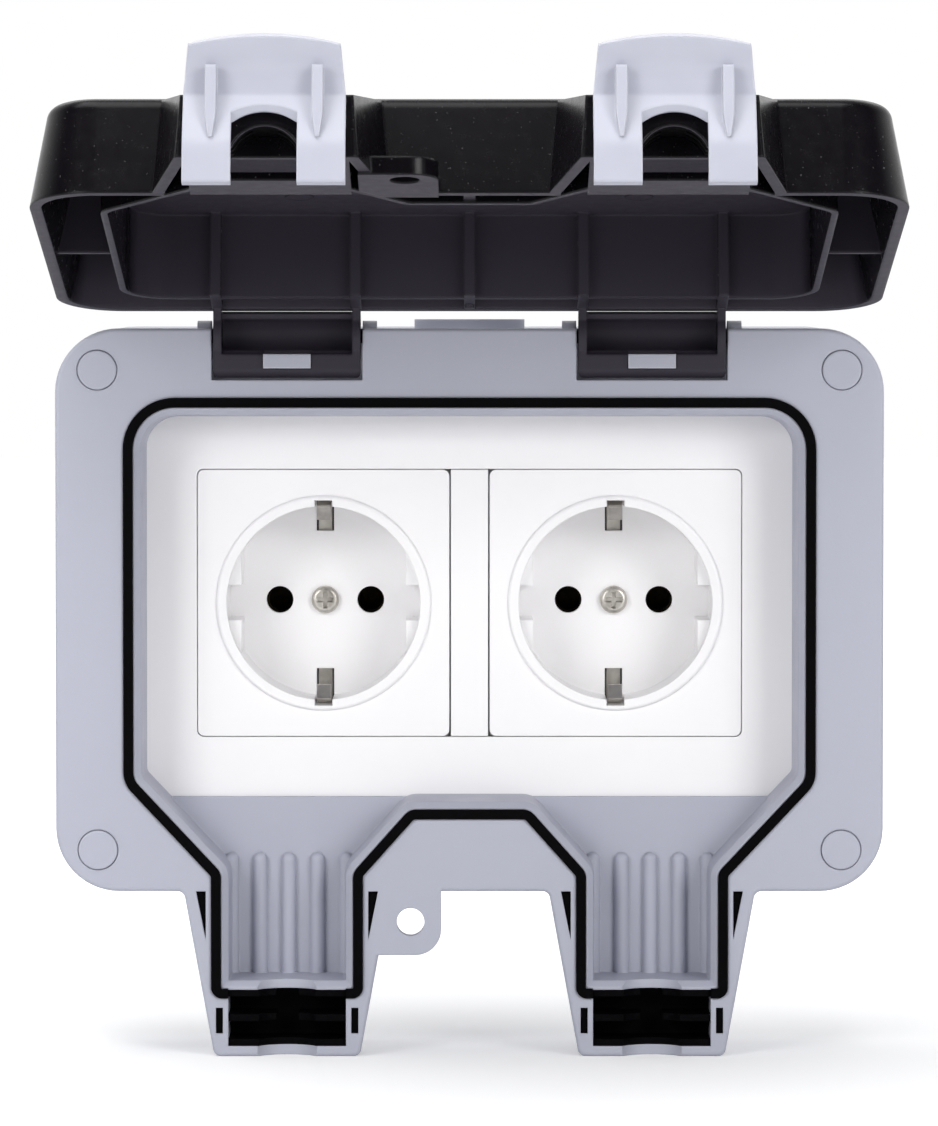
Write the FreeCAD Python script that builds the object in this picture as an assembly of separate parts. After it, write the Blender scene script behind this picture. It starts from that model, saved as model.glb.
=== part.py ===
"""Two-gang weatherproof socket enclosure, shown with its hinged cover held open.

X runs to the right, Y towards the wall and Z up. The origin is the centre of the
face that seats on the wall. Lengths are in millimetres and angles in degrees.
The cover and its latches are drawn shut and then swung open about the hinge.
"""
import FreeCAD
import Part
import math
import os

# Flange of the front frame
FLANGE_W = 169.0
FLANGE_H = 115.0
FLANGE_R = 13.0
SKIN = 3.0                  # front skin of the frame
SKIRT = 2.5                 # outer wall of the frame
EDGE_ROUND = 0.8            # small round on the moulded edges

# Socket wells and the modules behind them
WELL_R = 20.0
WELL_DEPTH = 17.0
WELL_WALL = 2.4
WELL_FLOOR = 2.0
RING_W = 2.2                # raised ring round the well
RING_PROUD = 0.9
FACE_SIDE = 3.95            # from the ring to the side of the face
FACE_END = 5.5              # from the ring to the top of the face
STRIP_W = 8.0               # spacer between the two faces
INSERT_GAP = 0.15
INSERT_R = 1.4
INSERT_FLANGE = 2.0
FLANGE_THICK = 1.2
LAND_IN = 3.0               # how far the side lands stand into the well
LAND_NEAR = 3.6
LAND_FAR = 10.8
LAND_SET = 1.5
PIN_X = 9.5
PIN_HOLE_R = 2.8
EARTH_SLOT_W = 3.65
EARTH_SLOT_OUT = 1.2
EARTH_SLOT_IN = 5.6
EARTH_W = 2.85
EARTH_THICK = 0.7
EARTH_NOSE = 2.9            # how far the fingers stand into the well
EARTH_HEEL = 8.5            # depths in the well where the finger bends
EARTH_BEND = 5.0
EARTH_CREST = 3.4
EARTH_TIP = 1.2
EARTH_PLAY = 0.1
BRIDGE_W = 6.0
MECH_DEPTH = 12.0
MECH_W = 42.0
MECH_END = 3.5              # module past the well at top and bottom
MECH_R = 3.0
MECH_ROUND = 1.0
MECH_ROOM = 4.5             # behind the module
SLEEVE_R = 3.2
SLEEVE_BORE = 2.45
SLEEVE_LENGTH = 8.5
SLEEVE_SET = 3.0            # contact behind the well floor
SLEEVE_SLIT = 0.6
TERMINAL_W = 6.5
TERMINAL_DEPTH = 6.0
TERMINAL_Z = 16.5
TERMINAL_SCREW_R = 2.0
TERMINAL_SCREW_H = 0.8
TERMINAL_SLOT = 0.7
CENTRE_HEAD_R = 2.9
CENTRE_HEAD_H = 1.7
CENTRE_SHANK_R = 1.5
CENTRE_LENGTH = 11.0

# Hinge
LEAF_W = 30.0
LEAF_GAP = 0.4              # each side of the leaf in its pocket
LEAF_SHIFT = 0.1            # middle of a leaf inwards of that of an outlet
HINGE_BACK = 3.9            # axis behind the flange front
HINGE_DROP = 1.55           # axis below the top of the flange
TAIL_LOW = 8.6              # foot of the tail below the axis, cover open
TAIL_SWING = 0.357          # room round the swinging tail
POCKET_WALL = 1.8
POCKET_SKIN = 1.0           # behind the pocket to the back of the frame
EAR_W = 2.9
EAR_R = 3.1
EAR_DROP = 4.0
TRUNNION_R = 1.5
TRUNNION_LENGTH = 1.9
PIN_CLEAR = 0.05
KNUCKLE_R = 5.0
KNUCKLE_WALL = 1.3
ARM_W = 1.7
ARM_TOP = 6.4               # top of the arms above the axis, cover open
TAIL_WALL = 1.5
TAIL_TOP = 3.7              # edges of the tail below the axis, cover open
TAIL_LIP = 1.4              # depth of the bevel under the tail
TAIL_EDGE_R = 0.4
TAIL_CORNER_R = 1.1
TAIL_PROUD = 0.1
MOUTH = [(0, 0), (-9, -10.4), (-30, 0), (-9, 19.3)]  # wedge cut from the knuckle, (y, z)
OPEN_ANGLE = 102.0
BLOCK_W = 9.7               # detent block in the tail
BLOCK_H = 2.9
BLOCK_PROUD = 0.4

# Depths, from the flange front towards the wall
POCKET_R = math.hypot(TAIL_LOW, HINGE_BACK) + TAIL_SWING
FRAME_DEPTH = HINGE_BACK + POCKET_R + POCKET_WALL + POCKET_SKIN
BASE_DEPTH = FRAME_DEPTH + WELL_DEPTH + WELL_FLOOR + MECH_DEPTH + MECH_ROOM
GASKET_THICK = 1.0          # flat gasket between frame and box
GASKET_SET = 0.4            # its edge inside that of the box
FRONT = -BASE_DEPTH
FRAME_BACK = FRONT + FRAME_DEPTH
BOX_FRONT = FRAME_BACK + GASKET_THICK
HINGE_Y = FRONT + HINGE_BACK
HINGE_Z = FLANGE_H / 2 - HINGE_DROP

# Cable outlets, the two feet of the frame
FOOT_SIDE = 47.2            # outlet centre from the side of the flange
FOOT_X = FLANGE_W / 2 - FOOT_SIDE
FOOT_DROP = 33.85           # how far an outlet hangs below the flange
FOOT_BOTTOM = -FLANGE_H / 2 - FOOT_DROP
FOOT_TOP_HALF = 21.1        # half width where it leaves the flange
FOOT_END_HALF = 14.9        # half width at its lower end
FOOT_CORNER_R = 1.6
HINGE_X = FOOT_X - LEAF_SHIFT

# Line of the lid seal, the middle of the rubber cord
SEAL_W = 2.0
SEAL_R = 9.6
SEAL_TURN_R = 1.2           # corners beside the comb chamber
SEAL_GROOVE = 1.6           # depth of the groove
SEAL_PROUD = 0.6
SEAL_HALF_W = FLANGE_W / 2 - 14.85
SEAL_TOP = FLANGE_H / 2 - 15.15
SEAL_SHOULDER = -FLANGE_H / 2 + 22.5    # where the side turns inwards
SEAL_FOOT_HALF = 14.5       # half width in an outlet
SEAL_FOOT_TOP = -FLANGE_H / 2 + 3.5     # where it enters an outlet
SEAL_FOOT_END = FOOT_BOTTOM + 12.95     # where it turns across an outlet
SEAL_MID_X = (FOOT_X - SEAL_FOOT_HALF) / 2 + 0.4   # half width of the middle bridge
SEAL_MID_Z = -FLANGE_H / 2 + 15.8       # height of the middle bridge

# Recess inside the seal
LIP = 0.3                   # land between the groove and the bevel
LIP_BEVEL = 1.2             # width of the bevel round the recess
LIP_BEVEL_DEPTH = 1.5
RECESS_DRAFT = 0.5          # how much the recess narrows to its floor
CHANNEL_FLOOR = 2.0         # thickness of the floor of a channel
FLOOR_DEPTH = FRAME_DEPTH - CHANNEL_FLOOR
WINDOW_BOTTOM = -FLANGE_H / 2 + 18.35   # lower edge of the window for the plate
RIM_WALL = 1.2              # wall outside the groove

# Ribs, slots and comb chamber of an outlet
RIB_COUNT = 5
RIB_PITCH = 5.9
RIB_W = 3.0
RIB_HEIGHT = 1.9
RIB_TOP = -FLANGE_H / 2 + 5.4
CHAMBER_HALF = 12.04
CHAMBER_BOTTOM = FOOT_BOTTOM + 2.1
CHAMBER_TOP = CHAMBER_BOTTOM + 11.6
CHAMBER_DEPTH = FRAME_DEPTH - 4.0
CABLE_R = 6.6               # radius of the dish for a cable
CABLE_DIP = 4.0             # depth of that dish
SLOT_W = 1.45               # narrow slot beside the chamber
SLOT_H = 5.3
SLOT_OUT = 1.81             # from the chamber to the middle of the slot
SLOT_Z = CHAMBER_BOTTOM + 5.25
SLOT_DEPTH = 8.0
VENT_W = 2.0                # triangular slot beside the seal
VENT_H = 10.0
VENT_GAP = 1.1              # from the seal to the slot
KEY_SET = 0.8               # rubber in both slots, behind the flange front

# Padlock lugs
LUG_THICK = 3.0
LUG_DROP = 13.05            # lower edge of the frame lug below the flange
LUG_REACH = 31.5            # edge of the lug from the middle of the outlet
LUG_R = 5.3
LUG_HOLE_R = 2.85
LUG_HOLE_X = -FOOT_X + LUG_REACH - 6.25
LUG_HOLE_Z = -FLANGE_H / 2 - 6.25
LID_LUG_EDGE = 1.7          # cover lug below its hole
LID_LUG_PROUD = 0.6

# Corner screws and their caps
CORNER_X = FLANGE_W / 2 - 8.6
CORNER_Z = FLANGE_H / 2 - 8.5
CAP_R = 4.0
CAP_GROOVE = 0.15
CAP_PROUD = 0.3
CAP_THICK = 2.4
CAP_STEP = 0.9
PILLAR_WALL = 1.6
HEAD_R = 3.3
HEAD_H = 2.4
HEAD_DEPTH = 8.0            # flange front to the seat of the screw head
SCREW_R = 1.75
SCREW_CLEAR = 0.4
SCREW_LENGTH = 26.0
DRIVE_W = 0.9
DRIVE_DEPTH = 1.1
DRIVE_SHARE = 0.6           # reach of the cross recess, of the head radius

# Back box
BOX_INSET = 1.5             # front rim inside the flange edge
BOX_FLARE = 1.9             # how much each side spreads towards the wall
BOX_WALL = 2.5
BOX_R = 14.0
POST_R = 4.5
FIXING_X = 120.0
FIXING_Z = 76.0
FIXING_R = 2.6
FIXING_BOSS_R = 5.5
FIXING_BOSS_H = 1.6
KNOCKOUT_R = 10.0
KNOCKOUT_GROOVE = 0.8
KNOCKOUT_DEPTH = 0.7
PLATE_POST_R = 3.5
PLATE_POST_IN = (4.0, 6.0)  # post centre inside the edge of the plate

# Conduit entry, a spout set in the top wall of the box
ENTRY_R = 10.15
ENTRY_WALL = 1.35
ENTRY_PROUD = 1.9           # spout above the flange edge
ENTRY_Y = BOX_FRONT / 2
ENTRY_FOOT = 1.2            # square foot of the spout outside its tube

# Plate
PLATE_W = FLANGE_W - 23.0
PLATE_H = FLANGE_H - 29.0
PLATE_R = 4.0
PLATE_THICK = 3.0
PLATE_Z = 0.8
INSERT_W = 2 * (WELL_R + RING_W + FACE_SIDE)
INSERT_H = 2 * (WELL_R + RING_W + FACE_END)
SOCKET_X = (INSERT_W + STRIP_W) / 2
MECH_H = 2 * (WELL_R + MECH_END)
PLATE_FRONT = FRAME_BACK
PLATE_BACK = PLATE_FRONT + PLATE_THICK
WELL_BOTTOM = PLATE_FRONT + WELL_DEPTH
MECH_FRONT = WELL_BOTTOM + WELL_FLOOR
MECH_BACK = MECH_FRONT + MECH_DEPTH

# Cover, drawn shut
LID_SIDE = 1.0              # rim of the cover inside the side of the flange
LID_HALF_W = FLANGE_W / 2 - LID_SIDE
LID_TOP = FLANGE_H / 2 - 3.25
LID_BOTTOM = -FLANGE_H / 2 + 6.55
LID_R = 13.0
LID_GAP = 0.9               # flange to the rim of the cover
LID_DEPTH = 19.5
LID_DRAFT = 3.5
LID_WALL = 2.2
LID_ROUND = 2.6
RIM = FRONT - LID_GAP
CROWN = RIM - LID_DEPTH
LOBE_TOP_HALF = 22.3
LOBE_END_HALF = 16.8
LOBE_NECK = CHAMBER_TOP - 1.95          # where the lobe steps in for the latch
LOBE_TIP_HALF = 12.7
LOBE_END = FOOT_BOTTOM + 3.35
LOBE_TIP_DEPTH = 10.0
LOBE_SINK = 1.6             # top of the lobes behind the crown
LOBE_BLOCK = 5.5            # solid nose of the lobe ahead of its comb
LOBE_ROOT_R = 3.0
LOBE_STEP_R = 0.7
LOBE_TIP_R = 1.5
RIB_THICK = 1.3
NECK_PLATE_TOP = LID_BOTTOM + 1.35
NECK_PLATE_H = 11.4
NECK_PLATE_THICK = 1.6
STIFFENER_W = 2.2
STIFFENER_PROUD = 2.6
GUTTER_RIB = 1.2
GUTTER_RIB_SET = 1.5        # gutter ribs stop short of the rim
GUTTER_RIB_DROP = 47.0      # below the top of the cover
PEG_R = 1.0
PEG_PROUD = 0.6
LOBE_COMB_WALL = 1.2

# Combs
COMB_BACK = 1.6
FIN_COUNT = 3
FIN_THICK = 1.45
FIN_SPLIT = 4.6
COMB_GAP = 0.3

# Latches, drawn shut: depths run along Y and heights along Z
LATCH_W = 29.6
LATCH_TOP_W = 27.8
LATCH_THICK = 2.1
LATCH_TIP = FRONT + 7.4     # end of the legs
LATCH_KNEE = FRONT + 0.3    # where the legs bend into the waist
LATCH_VALLEY = FRONT - 10.0
LATCH_PULL = CROWN - 0.5    # end of the finger pull
LEG_Z = FOOT_BOTTOM - 1.55  # inner face of the legs
VALLEY_Z = LOBE_END - 0.5
PULL_Z = LEG_Z + 0.3
LATCH_SWEEP = 4.6           # middle of the hollow pull, from the valley
SWEEP_Z = VALLEY_Z - 0.5
LATCH_KNEE_R = 8.0
LATCH_VALLEY_R = 1.5
LATCH_SWEEP_R = 9.0
LATCH_TIP_R = 0.5
PULL_LIP = 0.3              # how much thicker the pull is at its end
PULL_BEVEL = 1.4            # how far the end leans back
PULL_CROWN = 1.9            # rise of the curved end
LATCH_SPAN = 12.0           # depth of material that the outline is cut through
ARCH_HALF = 6.0
ARCH_TOP = LATCH_VALLEY + 3.2
ARCH_RISE = 2.3
ARCH_LEAN = 1.3             # how much the arch opens outwards, per depth
LATCH_RIB_X = 9.7
LATCH_RIB_W = 2.0
LATCH_RIB_TOP = LATCH_PULL + 6.1
LATCH_RIB_TAPER = LATCH_VALLEY + 4.5    # where the rib starts to narrow
LATCH_RIB_TIP = 0.7         # its width at the lower end
LATCH_RIB_SINK = 0.9        # its top edge below the thickest part of the pull
CHEEK_W = 1.7
CHEEK_GAP = 0.25
CHEEK_R = 3.0
CHEEK_SINK = 0.7            # how far a cheek runs into the blade
PIVOT_R = 1.25
PIVOT_Y = RIM - LOBE_TIP_DEPTH + 2.9
PIVOT_Z = LOBE_END + 3.4
HOOK_DEPTH = 2.0
HOOK_HEIGHT = 1.2
HOOK_SLOPE = 0.5            # height where the hook starts to lean
HOOK_GROOVE = 1.4
HOOK_ROOM = 1.0

SIDES = {"left": -1.0, "right": 1.0}
EPS = 0.01


def vec(x, y, z):
    return FreeCAD.Vector(x, y, z)


def box(x0, x1, y0, y1, z0, z1):
    return Part.makeBox(x1 - x0, y1 - y0, z1 - z0, vec(x0, y0, z0))


def rod_x(radius, x0, x1, y, z):
    return Part.makeCylinder(radius, x1 - x0, vec(x0, y, z), vec(1, 0, 0))


def rod_y(radius, y0, y1, x, z):
    return Part.makeCylinder(radius, y1 - y0, vec(x, y0, z), vec(0, 1, 0))


def rod_z(radius, z0, z1, x, y):
    return Part.makeCylinder(radius, z1 - z0, vec(x, y, z0), vec(0, 0, 1))


def rounded_wire(points):
    """Closed wire through corner points, each given as (position, radius)."""
    corners = []
    count = len(points)
    for i, (here, radius) in enumerate(points):
        before = points[i - 1][0]
        after = points[(i + 1) % count][0]
        u = (before - here).normalize()
        v = (after - here).normalize()
        if radius <= 0:
            corners.append((here, here, here))
            continue
        half = u.getAngle(v) / 2
        reach = radius / math.tan(half)
        middle = (u + v).normalize()
        centre = here + middle * (radius / math.sin(half))
        corners.append((here + u * reach, centre - middle * radius, here + v * reach))
    edges = []
    for i, (start, mid, end) in enumerate(corners):
        if (start - end).Length > 1e-6:
            edges.append(Part.Arc(start, mid, end).toShape())
        following = corners[(i + 1) % count][0]
        if (following - end).Length > 1e-6:
            edges.append(Part.makeLine(end, following))
    return Part.Wire(edges)


def front_wire(points, y):
    return rounded_wire([(vec(x, y, z), r) for x, z, r in points])


def slab(points, y0, y1):
    """Prism along Y over an outline of (x, z, corner radius)."""
    return Part.Face(front_wire(points, y0)).extrude(vec(0, y1 - y0, 0))


def side_slab(points, x0, x1):
    """Prism along X over an outline of (y, z, corner radius)."""
    wire = rounded_wire([(vec(x0, y, z), r) for y, z, r in points])
    return Part.Face(wire).extrude(vec(x1 - x0, 0, 0))


def taper(points_a, y_a, points_b, y_b):
    """Solid between two outlines that have the same corners."""
    return Part.makeLoft([front_wire(points_a, y_a), front_wire(points_b, y_b)], True, True)


def rectangle(cx, cz, w, h, r):
    return [(cx - w / 2, cz + h / 2, r), (cx - w / 2, cz - h / 2, r),
            (cx + w / 2, cz - h / 2, r), (cx + w / 2, cz + h / 2, r)]


def mirrored(half):
    """Whole outline from its left half, listed from the top down."""
    return half + [(-x, z, r) for x, z, r in reversed(half)]


def inset(points, distance):
    """Outline moved inwards by a distance, or outwards if it is negative."""
    count = len(points)
    area = sum(points[i - 1][0] * points[i][1] - points[i][0] * points[i - 1][1]
               for i in range(count))
    turn = 1.0 if area > 0 else -1.0
    moved = []
    for i, (x, z, r) in enumerate(points):
        x0, z0, _ = points[i - 1]
        x1, z1, _ = points[(i + 1) % count]
        a = math.atan2(z - z0, x - x0)
        b = math.atan2(z1 - z, x1 - x)
        bend = math.remainder(b - a, 2 * math.pi)
        middle = a + bend / 2 + turn * math.pi / 2
        reach = distance / math.cos(bend / 2)
        outer = bend * turn > 0
        radius = max(r - distance, 0.2) if outer else max(r + distance, 0.2)
        moved.append((x + reach * math.cos(middle), z + reach * math.sin(middle),
                      radius if r > 0 else 0.0))
    return moved


def fillet_plane(shape, y, radius, keep=lambda edge: True):
    """Round the edges that lie in the plane of a given Y."""
    edges = [e for e in shape.Edges
             if abs(e.BoundBox.YMin - y) < EPS and abs(e.BoundBox.YMax - y) < EPS and keep(e)]
    return shape.makeFillet(radius, edges)


def frame_outline():
    """Flange with its two outlets below."""
    return mirrored([(-FLANGE_W / 2, FLANGE_H / 2, FLANGE_R),
                     (-FLANGE_W / 2, -FLANGE_H / 2, FLANGE_R),
                     (-FOOT_X - FOOT_TOP_HALF, -FLANGE_H / 2, FOOT_CORNER_R),
                     (-FOOT_X - FOOT_END_HALF, FOOT_BOTTOM, FOOT_CORNER_R),
                     (-FOOT_X + FOOT_END_HALF, FOOT_BOTTOM, FOOT_CORNER_R),
                     (-FOOT_X + FOOT_TOP_HALF, -FLANGE_H / 2, FOOT_CORNER_R)])


def seal_line():
    """Middle of the rubber cord round the recess and both outlets."""
    return mirrored([(-SEAL_HALF_W, SEAL_TOP, SEAL_R),
                     (-SEAL_HALF_W, SEAL_SHOULDER, SEAL_R / 2),
                     (-FOOT_X - SEAL_FOOT_HALF, SEAL_FOOT_TOP, SEAL_W),
                     (-FOOT_X - SEAL_FOOT_HALF, SEAL_FOOT_END, SEAL_TURN_R),
                     (-FOOT_X + SEAL_FOOT_HALF, SEAL_FOOT_END, SEAL_TURN_R),
                     (-FOOT_X + SEAL_FOOT_HALF, SEAL_FOOT_TOP, SEAL_W),
                     (-SEAL_MID_X, SEAL_MID_Z, SEAL_W)])


def cord_ring(y0, y1):
    """Prism over the cord, left out where the comb chambers are."""
    ring = slab(inset(seal_line(), -SEAL_W / 2), y0, y1)
    ring = ring.cut(slab(inset(seal_line(), SEAL_W / 2), y0 - 1, y1 + 1))
    for side in SIDES.values():
        x = side * FOOT_X
        ring = ring.cut(box(x - CHAMBER_HALF, x + CHAMBER_HALF, y0 - 1, y1 + 1,
                            CHAMBER_BOTTOM, CHAMBER_TOP + SEAL_W))
    return ring


def cable_dish(x, z0, z1, y_face, inwards):
    """Round groove along Z that a cable lies in."""
    return rod_z(CABLE_R, z0, z1, x, y_face + inwards * (CABLE_DIP - CABLE_R))


def hinge_pocket(x, grow):
    """Space in which a hinge leaf turns, or its housing if grown."""
    half = LEAF_W / 2 + LEAF_GAP + grow
    radius = POCKET_R + grow
    round_part = rod_x(radius, x - half, x + half, HINGE_Y, HINGE_Z)
    top_part = box(x - half, x + half, HINGE_Y - radius, HINGE_Y + radius,
                   HINGE_Z, FLANGE_H / 2 + (EAR_R if grow == 0 else 0))
    return round_part.fuse(top_part)


def vent(x, way, y0, y1):
    """Triangular slot beside the seal, or the rubber key that closes it."""
    near = x + way * (SEAL_FOOT_HALF + SEAL_W / 2 + VENT_GAP)
    top = -FLANGE_H / 2
    return slab([(near, top, 0), (near + way * VENT_W, top, 0), (near, top - VENT_H, 0)], y0, y1)


def side_slot(x, way, y0, y1):
    """Narrow slot beside the comb chamber, or the rubber key that closes it."""
    slot_x = x + way * (CHAMBER_HALF + SLOT_OUT)
    return box(slot_x - SLOT_W / 2, slot_x + SLOT_W / 2, y0, y1,
               SLOT_Z - SLOT_H / 2, SLOT_Z + SLOT_H / 2)


def foot_cuts(x):
    """Chamber, dishes, slots and latch grooves cut from the frame at one outlet."""
    cuts = [box(x - CHAMBER_HALF, x + CHAMBER_HALF, FRONT - 1, FRONT + CHAMBER_DEPTH,
                CHAMBER_BOTTOM, CHAMBER_TOP),
            cable_dish(x, FOOT_BOTTOM - 1, CHAMBER_BOTTOM + 1, FRONT, 1),
            cable_dish(x, CHAMBER_TOP - 1, SEAL_FOOT_END + 4 * SEAL_W, FRONT, 1)]
    for way in (-1, 1):
        cuts.append(side_slot(x, way, FRONT - 1, FRONT + SLOT_DEPTH))
        cuts.append(vent(x, way, FRONT - 1, FRAME_BACK + 1))
        hook_y = LATCH_TIP - HOOK_DEPTH
        leg = sorted((x + way * (ARCH_HALF - HOOK_ROOM), x + way * (LATCH_W / 2 + HOOK_ROOM)))
        cuts.append(box(leg[0], leg[1], hook_y - HOOK_ROOM, LATCH_TIP + HOOK_ROOM,
                        FOOT_BOTTOM - 1, FOOT_BOTTOM + HOOK_GROOVE))
    return cuts


def channel_ribs(x):
    """Rounded ribs on the floor of a cable channel."""
    ribs = []
    floor = FRONT + FLOOR_DEPTH
    bottom = SEAL_FOOT_END + SEAL_W / 2 + LIP
    for i in range(RIB_COUNT):
        rib_x = x + (i - (RIB_COUNT - 1) / 2) * RIB_PITCH
        radius = RIB_W / 2
        bar = rod_z(radius, bottom, RIB_TOP, rib_x, floor - RIB_HEIGHT + radius)
        bar = bar.fuse(Part.makeSphere(radius, vec(rib_x, floor - RIB_HEIGHT + radius, RIB_TOP)))
        ribs.append(bar.common(box(x - SEAL_FOOT_HALF + SEAL_W / 2, x + SEAL_FOOT_HALF - SEAL_W / 2,
                                   floor - RIB_W, FRAME_BACK, bottom, RIB_TOP + RIB_W)))
    return ribs


def front_frame():
    outer = slab(frame_outline(), FRONT, FRAME_BACK)
    outer = fillet_plane(outer, FRONT, EDGE_ROUND)
    outer = outer.fuse(padlock_lug(FRONT, FRONT + LUG_THICK, -FLANGE_H / 2 + FOOT_CORNER_R,
                                   -FLANGE_H / 2 - LUG_DROP))
    core = slab(inset(seal_line(), -SEAL_W / 2 - RIM_WALL), FRONT, FRAME_BACK)
    hollow = slab(inset(frame_outline(), SKIRT), FRONT + SKIN, FRAME_BACK + 1)
    hollow = hollow.cut(box(-FLANGE_W, FLANGE_W, FRONT, FRAME_BACK + 2, FOOT_BOTTOM,
                            -FLANGE_H / 2 - VENT_H))
    keep = [core]
    for way_x in (-1, 1):
        keep.append(hinge_pocket(way_x * HINGE_X, POCKET_WALL))
        for way_z in (-1, 1):
            keep.append(rod_y(CAP_R + CAP_GROOVE + PILLAR_WALL, FRONT, FRAME_BACK + 1,
                              way_x * CORNER_X, way_z * CORNER_Z))
    hollow = hollow.cut(keep)
    for way_x in (-1, 1):
        for way in (-1, 1):
            ear_x = sorted((way_x * HINGE_X + way * (LEAF_W / 2 + LEAF_GAP),
                            way_x * HINGE_X + way * (LEAF_W / 2 + LEAF_GAP + EAR_W)))
            ear = rod_x(EAR_R, ear_x[0], ear_x[1], HINGE_Y, HINGE_Z)
            ear = ear.fuse(box(ear_x[0], ear_x[1], FRONT, HINGE_Y + EAR_R,
                               HINGE_Z - EAR_DROP, HINGE_Z))
            outer = outer.fuse(ear)
    edge = inset(seal_line(), SEAL_W / 2 + LIP)
    below_bevel = inset(seal_line(), SEAL_W / 2 + LIP + LIP_BEVEL)
    opening = inset(seal_line(), SEAL_W / 2 + LIP + LIP_BEVEL + RECESS_DRAFT)
    bevel = taper(edge, FRONT, below_bevel, FRONT + LIP_BEVEL_DEPTH)
    recess = bevel.fuse(taper(below_bevel, FRONT + LIP_BEVEL_DEPTH, opening, FRAME_BACK))
    floor = slab(inset(seal_line(), SEAL_W / 2 + LIP / 2), FRONT + FLOOR_DEPTH, FRAME_BACK)
    floor = floor.common(box(-FLANGE_W, FLANGE_W, FRONT, FRAME_BACK, FOOT_BOTTOM, WINDOW_BOTTOM))
    frame = outer.cut([hollow, recess, cord_ring(FRONT - 1, FRONT + SEAL_GROOVE)])
    frame = frame.fuse([floor] + channel_ribs(-FOOT_X) + channel_ribs(FOOT_X))
    cuts = foot_cuts(-FOOT_X) + foot_cuts(FOOT_X)
    for way_x in (-1, 1):
        x = way_x * HINGE_X
        cuts.append(hinge_pocket(x, 0))
        half = LEAF_W / 2 + TRUNNION_LENGTH + PIN_CLEAR * 4
        cuts.append(rod_x(TRUNNION_R + PIN_CLEAR, x - half, x + half, HINGE_Y, HINGE_Z))
        for way_z in (-1, 1):
            cx = way_x * CORNER_X
            cz = way_z * CORNER_Z
            cuts.append(rod_y(CAP_R + CAP_GROOVE, FRONT - 1, FRONT + HEAD_DEPTH, cx, cz))
            cuts.append(rod_y(SCREW_R + SCREW_CLEAR, FRONT, FRAME_BACK + 1, cx, cz))
    return frame.cut(cuts).removeSplitter()


def box_outline(grow, y_share):
    """Outline of the box, flared from its front rim to the wall."""
    spread = BOX_FLARE * y_share - BOX_INSET + grow
    return rectangle(0, 0, FLANGE_W + 2 * spread, FLANGE_H + 2 * spread, BOX_R + grow)


def box_walls():
    """The four walls and the back of the box."""
    shell = taper(box_outline(0, 0), BOX_FRONT, box_outline(0, 1), 0)
    inner_share = (BOX_FRONT + BOX_WALL) / BOX_FRONT
    return shell.cut(taper(box_outline(-BOX_WALL, 0), BOX_FRONT,
                           box_outline(-BOX_WALL, inner_share), -BOX_WALL))


def entry_seat():
    """Square hole through the top wall, in which the conduit spout is set."""
    half = ENTRY_R + ENTRY_WALL + ENTRY_FOOT
    return box(-half, half, ENTRY_Y - half, ENTRY_Y + half, 0, FLANGE_H)


def conduit_spout():
    """Tube for a conduit on a square foot that is flush with the box wall."""
    foot = box_walls().common(entry_seat())
    tube = rod_z(ENTRY_R + ENTRY_WALL, FLANGE_H / 2 - BOX_INSET - BOX_WALL,
                 FLANGE_H / 2 + ENTRY_PROUD, 0, ENTRY_Y)
    return foot.fuse(tube).cut(rod_z(ENTRY_R, 0, FLANGE_H, 0, ENTRY_Y)).removeSplitter()


def back_box():
    shell = box_walls()
    posts = []
    cuts = [entry_seat()]
    inside = box_outline(-BOX_WALL / 2, 0)
    for way_x in (-1, 1):
        for way_z in (-1, 1):
            posts.append(rod_y(POST_R, BOX_FRONT, -BOX_WALL / 2, way_x * CORNER_X,
                               way_z * CORNER_Z))
            cuts.append(rod_y(SCREW_R, BOX_FRONT - 1, FRONT + HEAD_DEPTH + SCREW_LENGTH,
                              way_x * CORNER_X, way_z * CORNER_Z))
            posts.append(rod_y(PLATE_POST_R, PLATE_BACK, -BOX_WALL / 2,
                               way_x * (PLATE_W / 2 - PLATE_POST_IN[0]),
                               PLATE_Z + way_z * (PLATE_H / 2 - PLATE_POST_IN[1])))
            fix_x = way_x * FIXING_X / 2
            fix_z = way_z * FIXING_Z / 2
            posts.append(rod_y(FIXING_BOSS_R, -BOX_WALL - FIXING_BOSS_H, -BOX_WALL / 2,
                               fix_x, fix_z))
            cuts.append(rod_y(FIXING_R, -BOX_WALL - FIXING_BOSS_H - 1, 1, fix_x, fix_z))
    knockout = rod_x(KNOCKOUT_R, -FLANGE_W, FLANGE_W, ENTRY_Y, 0)
    knockout = knockout.cut(rod_x(KNOCKOUT_R - KNOCKOUT_GROOVE, -FLANGE_W, FLANGE_W, ENTRY_Y, 0))
    cuts.append(knockout.cut(taper(box_outline(-KNOCKOUT_DEPTH, 0), BOX_FRONT,
                                   box_outline(-KNOCKOUT_DEPTH, 1), 0)))
    solid_inside = slab(inside, BOX_FRONT, 0)
    shell = shell.fuse([post.common(solid_inside) for post in posts])
    return shell.cut(cuts).removeSplitter()


def box_gasket():
    ring = slab(inset(box_outline(0, 0), GASKET_SET), FRAME_BACK, BOX_FRONT)
    cuts = [slab(box_outline(-BOX_WALL, 0), FRAME_BACK - 1, BOX_FRONT + 1)]
    for way_x in (-1, 1):
        for way_z in (-1, 1):
            cuts.append(rod_y(SCREW_R + SCREW_CLEAR, FRAME_BACK - 1, BOX_FRONT + 1,
                              way_x * CORNER_X, way_z * CORNER_Z))
    return ring.cut(cuts)


def lid_seal():
    """Cord in its groove, with the keys that hold it beside the outlets."""
    cord = cord_ring(FRONT - SEAL_PROUD, FRONT + SEAL_GROOVE)
    keys = [vent(side * FOOT_X, way, FRONT + KEY_SET, FRONT + SKIN)
            for side in SIDES.values() for way in (-1, 1)]
    return Part.makeCompound(cord.Solids + keys)


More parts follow.
